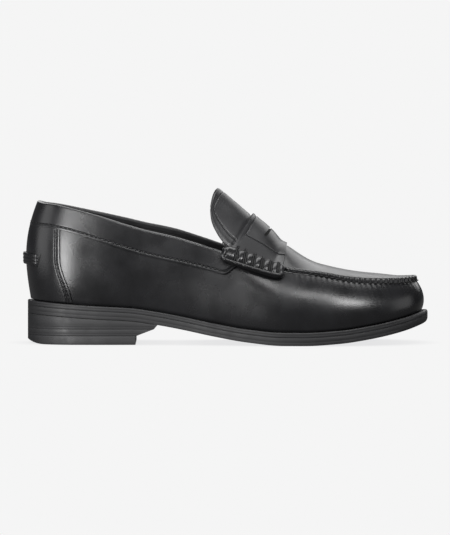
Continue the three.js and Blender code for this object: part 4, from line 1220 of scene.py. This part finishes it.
def roll_point(start, end, share, angle, proud):
    """Points on the roll: share along it, angle round it from straight out, proud of its leather."""
    centre, out, above = roll_frames(start, end, share)
    ends = np.minimum(share, 1 - share)
    size = 0.55 + 0.45 * np.sqrt(np.clip(ends / 0.09, 0, 1))
    pulled = sum(dip((share - place) * ROLL_LENGTH, 1.1) for place in wrap_places())
    laced = smooth(angle, -1.0, -0.5)
    bulge = 0.25 - 0.95 * pulled * laced
    across = (ROLL_DEPTH / 2 * size + bulge * size + proud)[:, None]
    upper_half = 1.9 * smooth(np.sin(angle), 0.1, 0.9) * size
    tall = (ROLL_HEIGHT / 2 * size + bulge * 0.6 * size + proud + upper_half)[:, None]
    return centre + np.cos(angle)[:, None] * out * across + np.sin(angle)[:, None] * above * tall


def eased(values):
    """Rounds the turns of a path by averaging eleven of its points."""
    return np.convolve(np.pad(values, 5, mode="edge"), np.ones(11) / 11, mode="valid")


for side, (start, end) in ROLL_SPANS.items():

    def roll_place(u, v):
        return roll_point(start, end, u, (2 * v - 1) * math.pi, -0.25)

    roll = panel(f"beefroll_{side}_leather", 110, 36, roll_place)
    close(roll, cap_ends=True)
    fit(roll, upper_leather, "upper_leather", f"beefroll_{side}", angle=60)

    share = eased(np.r_[np.full(14, 0.05), np.linspace(0.05, 0.985, RIM_STEPS)])
    angle = eased(np.r_[np.linspace(0.9, -0.8, 14), np.full(RIM_STEPS, -0.8)])
    rim = sweep(f"beefroll_{side}_rim", roll_point(start, end, share, angle, -0.1), 1.25, 14)
    fit(rim, upper_leather, "upper_leather", angle=60)

    # Each turn is a pair of threads that come up through the strap and go over the roll.
    hand = 1 if start > TOE else -1
    loops = []
    for place in wrap_places():
        for beside in (-0.014, 0.014):
            angle = np.linspace(1.1, -0.55, WRAP_STEPS)
            share = place + beside + 0.02 * np.linspace(-1, 1, WRAP_STEPS)
            over = roll_point(start, end, share, angle, 0.28)
            from_back = min(start, ROUND - start) + abs(end - start) * share[0]
            rib = np.interp(from_back, [6.05, 6.65, 7.13], [7, 6, 5])
            across, risen = hand * np.array([0.89, 0.915, 0.945]), np.array([1.2, 2.5, 3.2])
            path = np.concatenate([arch_skin(np.full(3, rib), across, risen), over])
            loops.append(sweep("lace", curve_through(path, 26), 0.5, 8))
    deselect()
    for loop in loops:
        loop.select_set(True)
    bpy.context.view_layer.objects.active = loops[0]
    bpy.ops.object.join()
    loops[0].name = loops[0].data.name = f"beefroll_{side}_lacing"
    fit(loops[0], waxed_thread, "waxed_thread", f"beefroll_thread_{side}")
